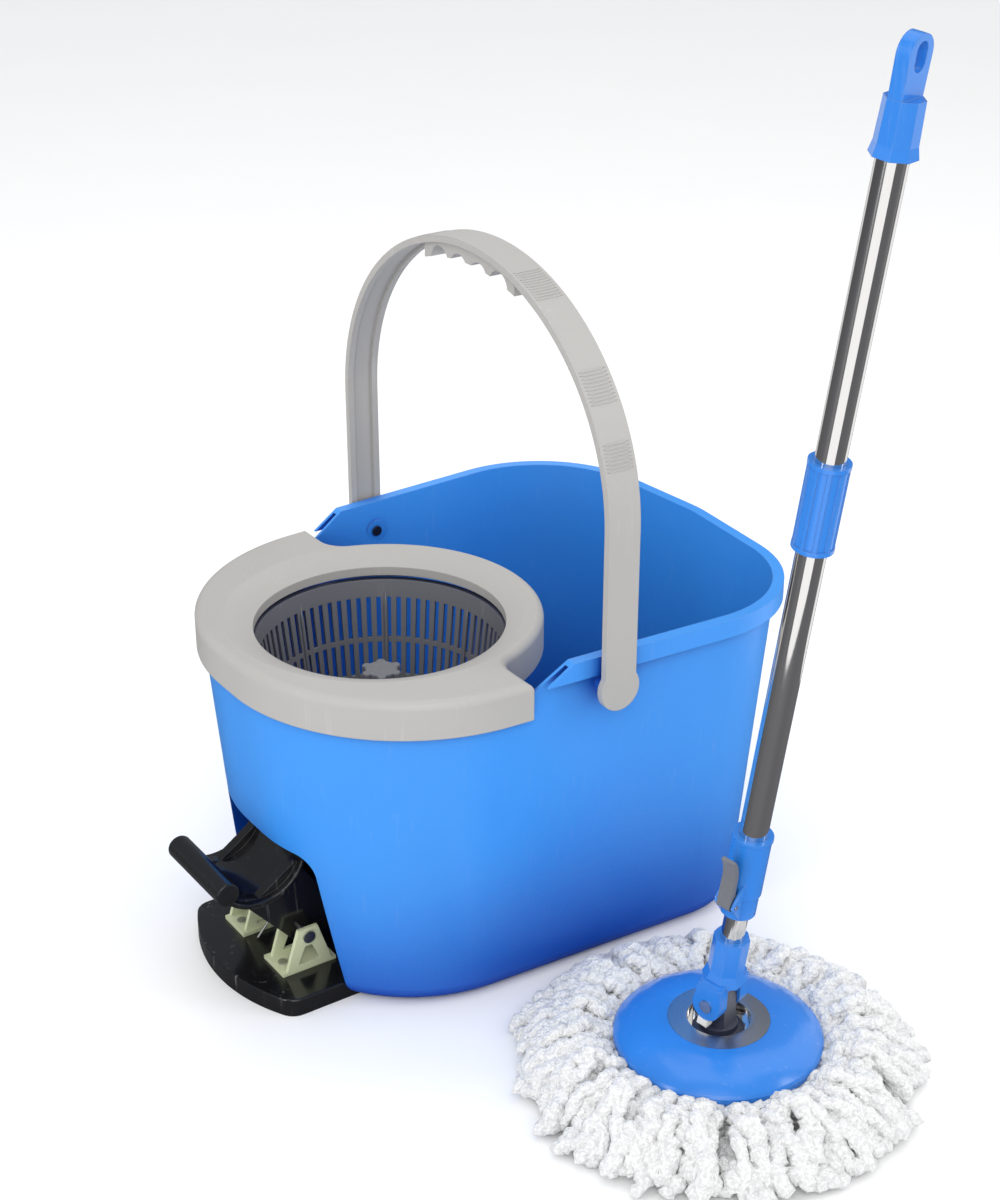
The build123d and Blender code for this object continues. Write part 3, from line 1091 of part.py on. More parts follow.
# ================================================================ clamp
CLAMP_SIDE = Plane(origin=HANDLE.origin, x_dir=HANDLE.x_dir, z_dir=-HANDLE.y_dir)
COLLET_RADIUS = TUBE_RADIUS + 0.3
CAM_RADIUS = 4.2
with BuildPart() as clamp_sleeve:
    with BuildSketch(HANDLE.offset(CLAMP_FOOT)):
        Circle(CLAMP_RADIUS - 1)
    extrude(amount=CLAMP_STEP - CLAMP_FOOT)
    with BuildSketch(HANDLE.offset(CLAMP_STEP)):
        Circle(CLAMP_RADIUS)
    extrude(amount=CLAMP_TOP - CLAMP_STEP)
    with BuildSketch(HANDLE.offset(CLAMP_TOP - 2.5)):
        Circle(CLAMP_RADIUS + 0.7)
    extrude(amount=2.5)
    for side in (-1, 1):
        with BuildSketch(CLAMP_SIDE.offset(side * (LEVER_HALF + 0.4))):
            with BuildLine():
                Polyline(
                    (-CLAMP_RADIUS + 3, LEVER_PIVOT + 17), (-LEVER_REACH - 1, LEVER_PIVOT + 4),
                    (-LEVER_REACH - 3, LEVER_PIVOT - 1), (-LEVER_REACH, LEVER_PIVOT - 5),
                    (-CLAMP_RADIUS + 3, CLAMP_FOOT + 1), close=True,
                )
            make_face()
        extrude(amount=side * 2.4)
    with BuildSketch(HANDLE.offset(CLAMP_FOOT)):
        Circle(INNER_RADIUS + 0.35)
    extrude(amount=2, mode=Mode.SUBTRACT)
    with BuildSketch(HANDLE.offset(CLAMP_FOOT + 2)):
        Circle(COLLET_RADIUS)
    extrude(amount=LOWER_TUBE_FOOT - CLAMP_FOOT - 2, mode=Mode.SUBTRACT)
    with BuildSketch(HANDLE.offset(LOWER_TUBE_FOOT)):
        Circle(TUBE_RADIUS)
    extrude(amount=CLAMP_TOP - LOWER_TUBE_FOOT, mode=Mode.SUBTRACT)
    # window through which the cam presses the collet
    with BuildSketch(CLAMP_SIDE):
        with Locations((-CLAMP_RADIUS, LEVER_PIVOT)):
            Rectangle(2 * CAM_RADIUS, 3.4 * CAM_RADIUS)
    extrude(amount=LEVER_HALF + 0.4, both=True, mode=Mode.SUBTRACT)
    with BuildSketch(CLAMP_SIDE):
        with Locations((-LEVER_REACH, LEVER_PIVOT)):
            Circle(LEVER_PIN_RADIUS)
    extrude(amount=2 * LEVER_HALF, both=True, mode=Mode.SUBTRACT)
save(clamp_sleeve, "clamp_sleeve")

with BuildPart() as clamp_collet:
    with BuildSketch(HANDLE.offset(CLAMP_FOOT + 2.2)):
        Circle(COLLET_RADIUS - 0.1)
        Circle(INNER_RADIUS + RUNNING, mode=Mode.SUBTRACT)
        with Locations((COLLET_RADIUS, 0)):
            Rectangle(COLLET_RADIUS, 2, mode=Mode.SUBTRACT)
    extrude(amount=LOWER_TUBE_FOOT - CLAMP_FOOT - 2.4)
save(clamp_collet, "clamp_collet")

with BuildPart() as clamp_lever:
    with BuildSketch(CLAMP_SIDE) as lever_side:
        with Locations((-LEVER_REACH, LEVER_PIVOT)):
            Circle(CAM_RADIUS)
        with Locations((-LEVER_REACH + 2.6, LEVER_PIVOT + 1)):
            Circle(CAM_RADIUS - 0.8)
        with BuildLine():
            Polyline((-LEVER_REACH - CAM_RADIUS, LEVER_PIVOT), (-LEVER_REACH - 3.6, LEVER_PIVOT + 20))
            ThreePointArc((-LEVER_REACH - 3.6, LEVER_PIVOT + 20),
                          (-LEVER_REACH - 5, LEVER_PIVOT + 30),
                          (-LEVER_REACH - 9, LEVER_PIVOT + LEVER_LENGTH))
            Line((-LEVER_REACH - 9, LEVER_PIVOT + LEVER_LENGTH),
                 (-LEVER_REACH - 6.5, LEVER_PIVOT + LEVER_LENGTH + 1))
            ThreePointArc((-LEVER_REACH - 6.5, LEVER_PIVOT + LEVER_LENGTH + 1),
                          (-LEVER_REACH - 1.6, LEVER_PIVOT + 31),
                          (-LEVER_REACH + 0.4, LEVER_PIVOT + 20))
            Polyline((-LEVER_REACH + 0.4, LEVER_PIVOT + 20), (-LEVER_REACH + 1, LEVER_PIVOT),
                     (-LEVER_REACH - CAM_RADIUS, LEVER_PIVOT))
        make_face()
        with Locations((-LEVER_REACH, LEVER_PIVOT)):
            Circle(LEVER_PIN_RADIUS + RUNNING, mode=Mode.SUBTRACT)
    extrude(amount=LEVER_HALF, both=True)
save(clamp_lever, "clamp_lever")

with BuildPart() as clamp_pin:
    with BuildSketch(CLAMP_SIDE):
        with Locations((-LEVER_REACH, LEVER_PIVOT)):
            Circle(LEVER_PIN_RADIUS)
    extrude(amount=LEVER_HALF + 3.4, both=True)
save(clamp_pin, "clamp_pin")
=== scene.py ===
"""Looks of a pedal spin bucket with its telescopic round mop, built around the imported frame."""

from __future__ import annotations

import json
import logging
import math
from dataclasses import dataclass
from enum import Enum

import bpy
import numpy as np
from mathutils import Matrix, Vector

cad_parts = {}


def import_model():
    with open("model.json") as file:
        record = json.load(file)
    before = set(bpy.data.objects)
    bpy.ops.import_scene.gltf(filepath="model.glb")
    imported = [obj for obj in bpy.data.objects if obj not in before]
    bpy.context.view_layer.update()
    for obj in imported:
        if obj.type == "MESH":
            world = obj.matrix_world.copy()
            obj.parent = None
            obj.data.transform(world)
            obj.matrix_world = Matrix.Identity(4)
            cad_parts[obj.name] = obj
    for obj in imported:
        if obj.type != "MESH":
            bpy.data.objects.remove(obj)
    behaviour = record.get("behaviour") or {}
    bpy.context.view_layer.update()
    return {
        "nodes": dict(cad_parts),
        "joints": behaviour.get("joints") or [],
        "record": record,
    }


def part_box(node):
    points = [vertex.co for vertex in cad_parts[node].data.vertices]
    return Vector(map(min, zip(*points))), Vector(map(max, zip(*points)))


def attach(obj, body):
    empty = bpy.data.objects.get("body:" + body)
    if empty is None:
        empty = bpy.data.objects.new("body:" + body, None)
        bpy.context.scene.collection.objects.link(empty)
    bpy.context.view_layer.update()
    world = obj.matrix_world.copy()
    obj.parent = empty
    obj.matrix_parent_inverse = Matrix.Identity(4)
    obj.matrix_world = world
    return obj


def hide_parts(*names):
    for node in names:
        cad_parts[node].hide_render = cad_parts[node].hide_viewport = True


log = logging.getLogger("spin_mop")
Array = np.ndarray
Rgb = tuple[float, float, float]
Rgba = tuple[float, float, float, float]
MM = 0.001


class Body(Enum):
    """Bodies of the frame that pieces can ride on."""

    BAIL = "bail"
    BASKET = "basket"
    MOP_HEAD = "mop_head"


class Slot(Enum):
    """Material slots of the record."""

    BLUE = "blue_plastic"
    FITTINGS = "blue_fittings"
    WARM_GREY = "warm_grey_plastic"
    MID_GREY = "mid_grey_plastic"
    BLACK = "black_plastic"
    CREAM = "cream_nylon"
    WHITE = "white_nylon"
    CHROME = "chromed_steel"
    BRUSHED = "brushed_steel"
    ZINC = "zinc_steel"
    RUBBER = "black_rubber"
    YARN = "white_microfibre"


# ---------------------------------------------------------------- shader groups
class Tree:
    """Small helper that adds and links nodes in one node tree."""

    def __init__(self, tree: bpy.types.NodeTree) -> None:
        """Keep the tree that nodes are added to."""
        self.tree = tree

    def add(self, kind: str, **settings: object) -> bpy.types.Node:
        """Add a node.

        Args:
            kind: Blender's name of the node type.
            settings: Properties set on the node, or socket values given by their socket name
                with underscores for spaces.

        Returns:
            The new node.
        """
        node = self.tree.nodes.new(kind)
        for key, value in settings.items():
            if hasattr(node, key):
                setattr(node, key, value)
            else:
                node.inputs[key.replace("_", " ")].default_value = value
        return node

    def link(self, source: bpy.types.NodeSocket, target: bpy.types.NodeSocket) -> None:
        """Join an output socket to an input socket."""
        self.tree.links.new(source, target)

    def math(self, operation: str, first: object, second: object = 0.0) -> bpy.types.NodeSocket:
        """Math node on sockets or numbers.

        Args:
            operation: Math operation, such as MULTIPLY.
            first: First socket or number.
            second: Second socket or number.

        Returns:
            The value socket.
        """
        node = self.add("ShaderNodeMath", operation=operation)
        for place, value in enumerate((first, second)):
            if isinstance(value, bpy.types.NodeSocket):
                self.link(value, node.inputs[place])
            else:
                node.inputs[place].default_value = value
        return node.outputs[0]

    def blend(self, factor: object, low: object, high: object) -> bpy.types.NodeSocket:
        """Colour mix from low to high.

        Args:
            factor: Socket or number from 0 to 1.
            low: Socket or colour shown at factor 0.
            high: Socket or colour shown at factor 1.

        Returns:
            The mixed colour socket.
        """
        node = self.add("ShaderNodeMix", data_type="RGBA")
        for name, value in (("Factor_Float", factor), ("A_Color", low), ("B_Color", high)):
            socket = next(s for s in node.inputs if s.identifier == name)
            if isinstance(value, bpy.types.NodeSocket):
                self.link(value, socket)
            else:
                socket.default_value = value
        return next(s for s in node.outputs if s.identifier == "Result_Color")

    def ramp(self, value: bpy.types.NodeSocket, low: float, high: float) -> bpy.types.NodeSocket:
        """Clamped map of a value from low..high to 0..1."""
        node = self.add("ShaderNodeMapRange", From_Min=low, From_Max=high)
        self.link(value, node.inputs["Value"])
        return node.outputs["Result"]


def new_group(name: str, inputs: dict[str, object], outputs: dict[str, str]) -> tuple:
    """Empty shader node group with named sockets.

    Args:
        name: Name of the group.
        inputs: Input name to its default, a number, a colour or a socket type name.
        outputs: Output name to its socket type name.

    Returns:
        The group, its Tree helper, its input node and its output node.
    """
    group = bpy.data.node_groups.new(name, "ShaderNodeTree")
    for label, default in inputs.items():
        kind = "NodeSocketFloat"
        if isinstance(default, str):
            kind = default
        elif isinstance(default, tuple):
            kind = "NodeSocketColor"
        socket = group.interface.new_socket(name=label, in_out="INPUT", socket_type=kind)
        if not isinstance(default, str):
            socket.default_value = default
    for label, kind in outputs.items():
        group.interface.new_socket(name=label, in_out="OUTPUT", socket_type=kind)
    tree = Tree(group)
    return group, tree, tree.add("NodeGroupInput"), tree.add("NodeGroupOutput")


def moulded_surface_group() -> bpy.types.NodeTree:
    """Moulded plastic: cloudy shade, fine grain and short scuffs.

    Returns:
        The group. Colour is the base colour times 1 plus shade times a soft noise, lightened
        by the scuff mask. Height is grain depth times a fine noise.
    """
    group, tree, given, out = new_group(
        "moulded_surface",
        {"Color": (0.8, 0.8, 0.8, 1.0), "Shade": 0.08, "Grain Size": 700.0,
         "Grain Depth": 0.00003, "Scuff": 0.3, "Roughness": 0.4},
        {"Color": "NodeSocketColor", "Roughness": "NodeSocketFloat", "Height": "NodeSocketFloat"},
    )
    place = tree.add("ShaderNodeTexCoord").outputs["Object"]
    cloud = tree.add("ShaderNodeTexNoise", Scale=7.0, Detail=3.0)
    grain = tree.add("ShaderNodeTexNoise", Detail=2.0)
    stretch = tree.add("ShaderNodeMapping", Scale=(1.0, 1.0, 0.08), Rotation=(0.5, 0.9, 0.3))
    scratch = tree.add("ShaderNodeTexNoise", Scale=260.0, Detail=4.0)
    patch = tree.add("ShaderNodeTexNoise", Scale=16.0, Detail=2.0)
    tree.link(place, stretch.inputs["Vector"])
    tree.link(stretch.outputs["Vector"], scratch.inputs["Vector"])
    for node in (cloud, grain, patch):
        tree.link(place, node.inputs["Vector"])
    tree.link(given.outputs["Grain Size"], grain.inputs["Scale"])
    centred = tree.math("SUBTRACT", cloud.outputs["Fac"], 0.5)
    swing = tree.math("MULTIPLY", centred, given.outputs["Shade"])
    gain = tree.math("ADD", tree.math("MULTIPLY", swing, 2.0), 1.0)
    shaded = tree.add("ShaderNodeVectorMath", operation="SCALE")
    tree.link(given.outputs["Color"], shaded.inputs[0])
    tree.link(gain, shaded.inputs["Scale"])
    lines = tree.ramp(scratch.outputs["Fac"], 0.60, 0.72)
    worn = tree.math("MULTIPLY", lines, tree.ramp(patch.outputs["Fac"], 0.45, 0.7))
    mask = tree.math("MULTIPLY", worn, given.outputs["Scuff"])
    pale = tree.blend(0.35, shaded.outputs[0], (0.75, 0.76, 0.78, 1.0))
    tree.link(tree.blend(mask, shaded.outputs[0], pale), out.inputs["Color"])
    rough = tree.math("ADD", given.outputs["Roughness"], tree.math("MULTIPLY", mask, 0.3))
    rough = tree.math("ADD", rough, tree.math("MULTIPLY", centred, 0.12))
    tree.link(rough, out.inputs["Roughness"])
    height = tree.math("MULTIPLY", grain.outputs["Fac"], given.outputs["Grain Depth"])
    tree.link(height, out.inputs["Height"])
    return group


def edge_wear_group() -> bpy.types.NodeTree:
    """Rounded edges with a paler line where hands and floors rub them.

    Returns:
        The group. The mask is one minus the cosine between the rounded and the plain normal,
        broken up by noise, and Normal is the rounded normal.
    """
    group, tree, given, out = new_group(
        "edge_wear",
        {"Radius": 0.0008, "Amount": 0.5},
        {"Mask": "NodeSocketFloat", "Normal": "NodeSocketVector"},
    )
    bevel = tree.add("ShaderNodeBevel", samples=4)
    tree.link(given.outputs["Radius"], bevel.inputs["Radius"])
    plain = tree.add("ShaderNodeNewGeometry").outputs["Normal"]
    dot = tree.add("ShaderNodeVectorMath", operation="DOT_PRODUCT")
    tree.link(bevel.outputs["Normal"], dot.inputs[0])
    tree.link(plain, dot.inputs[1])
    bend = tree.math("SUBTRACT", 1.0, dot.outputs["Value"])
    noise = tree.add("ShaderNodeTexNoise", Scale=90.0, Detail=3.0)
    tree.link(tree.add("ShaderNodeTexCoord").outputs["Object"], noise.inputs["Vector"])
    broken = tree.math("MULTIPLY", tree.ramp(bend, 0.02, 0.3), noise.outputs["Fac"])
    tree.link(tree.math("MULTIPLY", broken, given.outputs["Amount"]), out.inputs["Mask"])
    tree.link(bevel.outputs["Normal"], out.inputs["Normal"])
    return group


def turned_metal_group() -> bpy.types.NodeTree:
    """Fine lines of turned or drawn metal with faint smudges.

    Returns:
        The group. Lines are a noise of the distance from the Vector input's Z axis, mixed with
        a noise stretched along Z; roughness follows both and a broad smudge noise.
    """
    group, tree, given, out = new_group(
        "turned_metal",
        {"Vector": "NodeSocketVector", "Rings": 900.0, "Turned": 1.0, "Depth": 0.00001,
         "Roughness": 0.2, "Smudge": 0.1},
        {"Roughness": "NodeSocketFloat", "Height": "NodeSocketFloat", "Tone": "NodeSocketFloat"},
    )
    split = tree.add("ShaderNodeSeparateXYZ")
    tree.link(given.outputs["Vector"], split.inputs[0])
    across = tree.math("POWER", split.outputs["X"], 2.0)
    reach = tree.math("SQRT", tree.math("ADD", across, tree.math("POWER", split.outputs["Y"], 2.0)))
    rings = tree.add("ShaderNodeTexNoise", noise_dimensions="1D", Detail=2.0)
    tree.link(reach, rings.inputs["W"])
    tree.link(given.outputs["Rings"], rings.inputs["Scale"])
    flatten = tree.add("ShaderNodeMapping", Scale=(1.0, 1.0, 0.01))
    tree.link(given.outputs["Vector"], flatten.inputs["Vector"])
    drawn = tree.add("ShaderNodeTexNoise", Scale=1400.0, Detail=2.0)
    tree.link(flatten.outputs["Vector"], drawn.inputs["Vector"])
    smudge = tree.add("ShaderNodeTexNoise", Scale=26.0, Detail=4.0)
    tree.link(given.outputs["Vector"], smudge.inputs["Vector"])
    turned_part = tree.math("MULTIPLY", rings.outputs["Fac"], given.outputs["Turned"])
    drawn_share = tree.math("SUBTRACT", 1.0, given.outputs["Turned"])
    lines = tree.math("ADD", turned_part, tree.math("MULTIPLY", drawn.outputs["Fac"], drawn_share))
    tree.link(tree.math("MULTIPLY", lines, given.outputs["Depth"]), out.inputs["Height"])
    soft = tree.math("MULTIPLY", smudge.outputs["Fac"], given.outputs["Smudge"])
    tree.link(tree.math("ADD", given.outputs["Roughness"], soft), out.inputs["Roughness"])
    tree.link(lines, out.inputs["Tone"])
    return group


def chenille_group() -> bpy.types.NodeTree:
    """Short curled microfibre pile: soft nubs, shade in the hollows.

    Returns:
        The group. Height is a sum of a cell pattern and a fine noise; the colour goes from the
        pale pile to a painted shade colour in the pits between cells and by the Depth input.
    """
    group, tree, given, out = new_group(
        "chenille_pile",
        {"Color": (0.9, 0.9, 0.9, 1.0), "Hollow": (0.6, 0.6, 0.6, 1.0), "Depth": 0.0,
         "Nub Size": 430.0},
        {"Color": "NodeSocketColor", "Height": "NodeSocketFloat"},
    )
    place = tree.add("ShaderNodeTexCoord").outputs["Object"]
    nubs = tree.add("ShaderNodeTexVoronoi", feature="SMOOTH_F1", Smoothness=0.6)
    fine = tree.add("ShaderNodeTexNoise", Scale=1500.0, Detail=3.0)
    tree.link(place, nubs.inputs["Vector"])
    tree.link(place, fine.inputs["Vector"])
    tree.link(given.outputs["Nub Size"], nubs.inputs["Scale"])
    # painted shade: the pits between nubs darken towards the shade colour
    pit = tree.ramp(nubs.outputs["Distance"], 0.25, 0.8)
    shade = tree.math("ADD", tree.math("MULTIPLY", pit, 0.45), given.outputs["Depth"])
    clipped = tree.ramp(shade, 0.0, 1.0)
    shaded = tree.blend(clipped, given.outputs["Color"], given.outputs["Hollow"])
    tree.link(shaded, out.inputs["Color"])
    low = tree.math("MULTIPLY", pit, -0.0011)
    fuzz = tree.math("MULTIPLY", fine.outputs["Fac"], 0.0005)
    tree.link(tree.math("ADD", low, fuzz), out.inputs["Height"])
    return group


# ---------------------------------------------------------------- finishes
def blank_material(name: str) -> tuple[bpy.types.Material, Tree, bpy.types.Node]:
    """New node material.

    Args:
        name: Name of the material.

    Returns:
        The material, its Tree helper and its Principled shader.
    """
    material = bpy.data.materials.new(name)
    material.use_nodes = True
    tree = Tree(material.node_tree)
    shader = material.node_tree.nodes["Principled BSDF"]
    return material, tree, shader


def use_group(tree: Tree, name: str, **values: object) -> bpy.types.Node:
    """Place a shader group in a material.

    Args:
        tree: Helper of the material's tree.
        name: Name of the group.
        values: Socket values by name, with underscores for spaces.

    Returns:
        The group node.
    """
    node = tree.add("ShaderNodeGroup", node_tree=bpy.data.node_groups[name])
    for key, value in values.items():
        node.inputs[key.replace("_", " ")].default_value = value
    return node


@dataclass(frozen=True)
class MouldedPlastic:
    """Injection-moulded plastic finish."""

    name: str
    color: Rgb
    roughness: float
    grain_size: float = 700.0
    grain_depth: float = 0.00003
    shade: float = 0.06
    scuff: float = 0.35
    wear: float = 0.5
    edge_radius: float = 0.0009
    coat: float = 0.0
    subsurface: float = 0.0
    specular: float = 0.5
    # painted shade: colour that hollows darken towards, by ambient occlusion
    painted_hollow_shade: Rgb | None = None
    painted_shade_reach: float = 0.16

    def build(self) -> bpy.types.Material:
        """Make the material: grain and scuffs under worn, softly rounded edges.

        Where a hollow shade colour is given, the colour deepens towards it inside hollows by
        ambient occlusion: painted shade where less light reaches.
        """
        material, tree, shader = blank_material(self.name)
        skin = use_group(
            tree, "moulded_surface", Color=(*self.color, 1.0), Shade=self.shade,
            Grain_Size=self.grain_size, Grain_Depth=self.grain_depth, Scuff=self.scuff,
            Roughness=self.roughness,
        )
        edge = use_group(tree, "edge_wear", Radius=self.edge_radius, Amount=self.wear)
        pale = tuple(0.55 * c + 0.3 for c in self.color)
        tinted = tree.blend(edge.outputs["Mask"], skin.outputs["Color"], (*pale, 1.0))
        if self.painted_hollow_shade is not None:
            # painted shade: ambient occlusion darkens the colour in hollows
            open_share = tree.add("ShaderNodeAmbientOcclusion", samples=6,
                                  Distance=self.painted_shade_reach)
            lit = tree.ramp(open_share.outputs["AO"], 0.42, 0.86)
            tinted = tree.blend(lit, (*self.painted_hollow_shade, 1.0), tinted)
        tree.link(tinted, shader.inputs["Base Color"])
        tree.link(skin.outputs["Roughness"], shader.inputs["Roughness"])
        bump = tree.add("ShaderNodeBump", Distance=1.0)
        tree.link(skin.outputs["Height"], bump.inputs["Height"])
        tree.link(edge.outputs["Normal"], bump.inputs["Normal"])
        tree.link(bump.outputs["Normal"], shader.inputs["Normal"])
        shader.inputs["Coat Weight"].default_value = self.coat
        shader.inputs["Coat Roughness"].default_value = 0.12
        shader.inputs["Specular IOR Level"].default_value = self.specular
        shader.inputs["Subsurface Weight"].default_value = self.subsurface
        shader.inputs["Subsurface Radius"].default_value = (0.004, 0.004, 0.003)
        return material


@dataclass(frozen=True)
class WorkedMetal:
    """Plated, turned or drawn metal finish."""

    name: str
    color: Rgb
    roughness: float
    turned: float
    rings: float = 900.0
    depth: float = 0.000006
    smudge: float = 0.06
    tone: float = 0.15
    origin: Rgb = (0.0, 0.0, 0.0)
    turn: Rgb = (0.0, 0.0, 0.0)

    def build(self) -> bpy.types.Material:
        """Make the material: lines about the piece's own axis, with faint smudges."""
        material, tree, shader = blank_material(self.name)
        place = tree.add("ShaderNodeMapping", vector_type="TEXTURE", Location=self.origin,
                         Rotation=self.turn)
        tree.link(tree.add("ShaderNodeTexCoord").outputs["Object"], place.inputs["Vector"])
        skin = use_group(tree, "turned_metal", Rings=self.rings, Turned=self.turned,
                         Depth=self.depth, Roughness=self.roughness, Smudge=self.smudge)
        tree.link(place.outputs["Vector"], skin.inputs["Vector"])
        dark = tuple(c * (1.0 - self.tone) for c in self.color)
        color = tree.blend(skin.outputs["Tone"], (*dark, 1.0), (*self.color, 1.0))
        tree.link(color, shader.inputs["Base Color"])
        tree.link(skin.outputs["Roughness"], shader.inputs["Roughness"])
        bump = tree.add("ShaderNodeBump", Distance=1.0)
        tree.link(skin.outputs["Height"], bump.inputs["Height"])
        tree.link(bump.outputs["Normal"], shader.inputs["Normal"])
        shader.inputs["Metallic"].default_value = 1.0
        return material


@dataclass(frozen=True)
class ChenilleYarn:
    """White chenille microfibre."""

    name: str
    color: Rgb
    painted_hollow_shade: Rgb

    def build(self) -> bpy.types.Material:
        """Make the material: curled pile with sheen, with painted shade towards the roots and on
        lower layers.
        """
        material, tree, shader = blank_material(self.name)
        # the depth attribute carries painted shade at the roots and on lower layers
        depth = tree.add("ShaderNodeAttribute", attribute_name="depth")
        pile = use_group(tree, "chenille_pile", Color=(*self.color, 1.0),
                         Hollow=(*self.painted_hollow_shade, 1.0))
        tree.link(depth.outputs["Fac"], pile.inputs["Depth"])
        tree.link(pile.outputs["Color"], shader.inputs["Base Color"])
        bump = tree.add("ShaderNodeBump", Distance=1.0)
        tree.link(pile.outputs["Height"], bump.inputs["Height"])
        tree.link(bump.outputs["Normal"], shader.inputs["Normal"])
        shader.inputs["Roughness"].default_value = 0.92
        shader.inputs["Sheen Weight"].default_value = 0.45
        shader.inputs["Sheen Roughness"].default_value = 0.5
        shader.inputs["Subsurface Weight"].default_value = 0.12
        shader.inputs["Subsurface Radius"].default_value = (0.003, 0.003, 0.003)
        return material


# ---------------------------------------------------------------- surfaces
def sheet_faces(rows: int, columns: int, wrap: bool) -> Array:
    """Quads of a grid of points, row by row.

    Args:
        rows: Number of rows of points.
        columns: Number of points in a row.
        wrap: True if the last column joins the first.

    Returns:
        Quads as an array of four indices each.
    """
    row, column = np.meshgrid(np.arange(rows - 1), np.arange(columns - (not wrap)), indexing="ij")
    after = (column + 1) % columns
    corners = [row * columns + column, row * columns + after,
               (row + 1) * columns + after, (row + 1) * columns + column]
    return np.stack(corners, -1).reshape(-1, 4)


def tube_faces(rings: int, sides: int) -> tuple[Array, Array]:
    """Faces of a closed tube: rings of points followed by a start pole and an end pole.

    Args:
        rings: Number of rings.
        sides: Points in each ring.

    Returns:
        The quads and the cap triangles.
    """
    side = np.arange(sides)
    after = (side + 1) % sides
    start = np.full(sides, rings * sides)
    last = (rings - 1) * sides
    first_cap = np.stack([start, after, side], -1)
    last_cap = np.stack([start + 1, last + side, last + after], -1)
    return sheet_faces(rings, sides, True), np.concatenate([first_cap, last_cap])


def repeated_faces(count: int, stride: int, rings: int, sides: int) -> list:
    """Faces of several closed tubes whose points follow each other.

    Args:
        count: Number of tubes.
        stride: Points of one tube, its two poles among them.
        rings: Rings of one tube.
        sides: Points in each ring.

    Returns:
        All quads and then all cap triangles, as lists of point indices.
    """
    quads, caps = tube_faces(rings, sides)
    shift = (np.arange(count) * stride)[:, None, None]
    all_quads = (quads[None] + shift).reshape(-1, 4).tolist()
    return all_quads + (caps[None] + shift).reshape(-1, 3).tolist()


def tubes(paths: Array, radii: Array, sides: int, flat: float = 1.0) -> tuple[Array, list]:
    """Many tubes in one set of points.

    Each ring point is the path point plus radius times the cosine of its angle along the level
    side direction plus the sine along the upward one, which flat scales.

    Args:
        paths: Path points, tube by ring by 3.
        radii: Radius, tube by ring.
        sides: Points around each tube.
        flat: Height of the cross-section as a share of its width.

    Returns:
        The points and the list of faces.
    """
    count, rings, _ = paths.shape
    tangent = np.gradient(paths, axis=1)
    tangent /= np.linalg.norm(tangent, axis=-1, keepdims=True)
    level = np.cross(np.array([0.0, 0.0, 1.0]), tangent)
    level /= np.linalg.norm(level, axis=-1, keepdims=True) + 1e-12
    upward = np.cross(tangent, level)
    angle = np.linspace(0.0, 2 * np.pi, sides, endpoint=False)
    sideways = np.cos(angle)[:, None] * level[:, :, None]
    ring = sideways + flat * np.sin(angle)[:, None] * upward[:, :, None]
    spread = radii[..., None] if radii.ndim == 3 else radii[:, :, None, None]
    body = paths[:, :, None] + spread * ring
    points = np.concatenate([body.reshape(count, -1, 3), paths[:, :1], paths[:, -1:]], axis=1)
    return points.reshape(-1, 3), repeated_faces(count, points.shape[1], rings, sides)


def ridges(
    centres: Array, along: Array, across: Array, up: Array, size: Rgb, steps: int = 9,
) -> tuple[Array, list]:
    """Low half-round ridges, such as finger ribs, each with a closed underside.

    A ridge's section is half a superellipse over its width; its height fades to nothing over
    the ends as the eighth power of the distance from its middle.

    Args:
        centres: Middle of each ridge's foot, ridge by 3.
        along: Unit direction of each ridge's length.
        across: Unit direction of each ridge's width.
        up: Unit direction of each ridge's height.
        size: Length, width and height of every ridge.
        steps: Points over the round part of one section.
        steps: Points over one section.

    Returns:
        The points and the list of faces.
    """
    length, width, height = size
    run = np.linspace(-1.0, 1.0, 7)
    angle = np.linspace(0.0, np.pi, steps)
    bottom = np.array([[-1.0, -0.4], [1.0, -0.4]])
    section = np.concatenate([np.stack([np.cos(angle), np.sin(angle) ** 0.7], -1), bottom])
    fade = 1.0 - 0.85 * run**8
    offset_along = run[None, :, None, None] * length / 2 * along[:, None, None]
    fade = fade[None, :, None, None]
    offset_across = section[None, None, :, :1] * width / 2 * fade * across[:, None, None]
    offset_up = section[None, None, :, 1:] * height * fade * up[:, None, None]
    body = centres[:, None, None] + offset_along + offset_across + offset_up
    count, rings, sides, _ = body.shape
    ends = body[:, (0, -1)].mean(axis=2)
    points = np.concatenate([body.reshape(count, -1, 3), ends], axis=1)
    return points.reshape(-1, 3), repeated_faces(count, points.shape[1], rings, sides)


def place_piece(
    name: str, points: Array, faces: list, body: Body, finish: bpy.types.Material,
    smooth: bool = True,
) -> bpy.types.Object:
    """Put computed points and faces into a new piece that rides on a body.

    Args:
        name: Name of the piece.
        points: Points in metres, in the row frame.
        faces: Faces as lists of point indices.
        body: Body that the piece moves with.
        finish: Material shown.
        smooth: True for smooth shading.

    Returns:
        The new object.
    """
    mesh = bpy.data.meshes.new(name)
    mesh.from_pydata(points.tolist(), [], faces)
    mesh.update()
    mesh.polygons.foreach_set("use_smooth", [smooth] * len(mesh.polygons))
    mesh.materials.append(finish)
    piece = bpy.data.objects.new(name, mesh)
    bpy.context.scene.collection.objects.link(piece)
    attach(piece, body.value)
    log.info("%s: %d faces on %s", name, len(faces), body.value)
    return piece


def unit(vector: Array) -> Array:
    """Vector or rows of vectors scaled to length one."""
    return vector / np.linalg.norm(vector, axis=-1, keepdims=True)


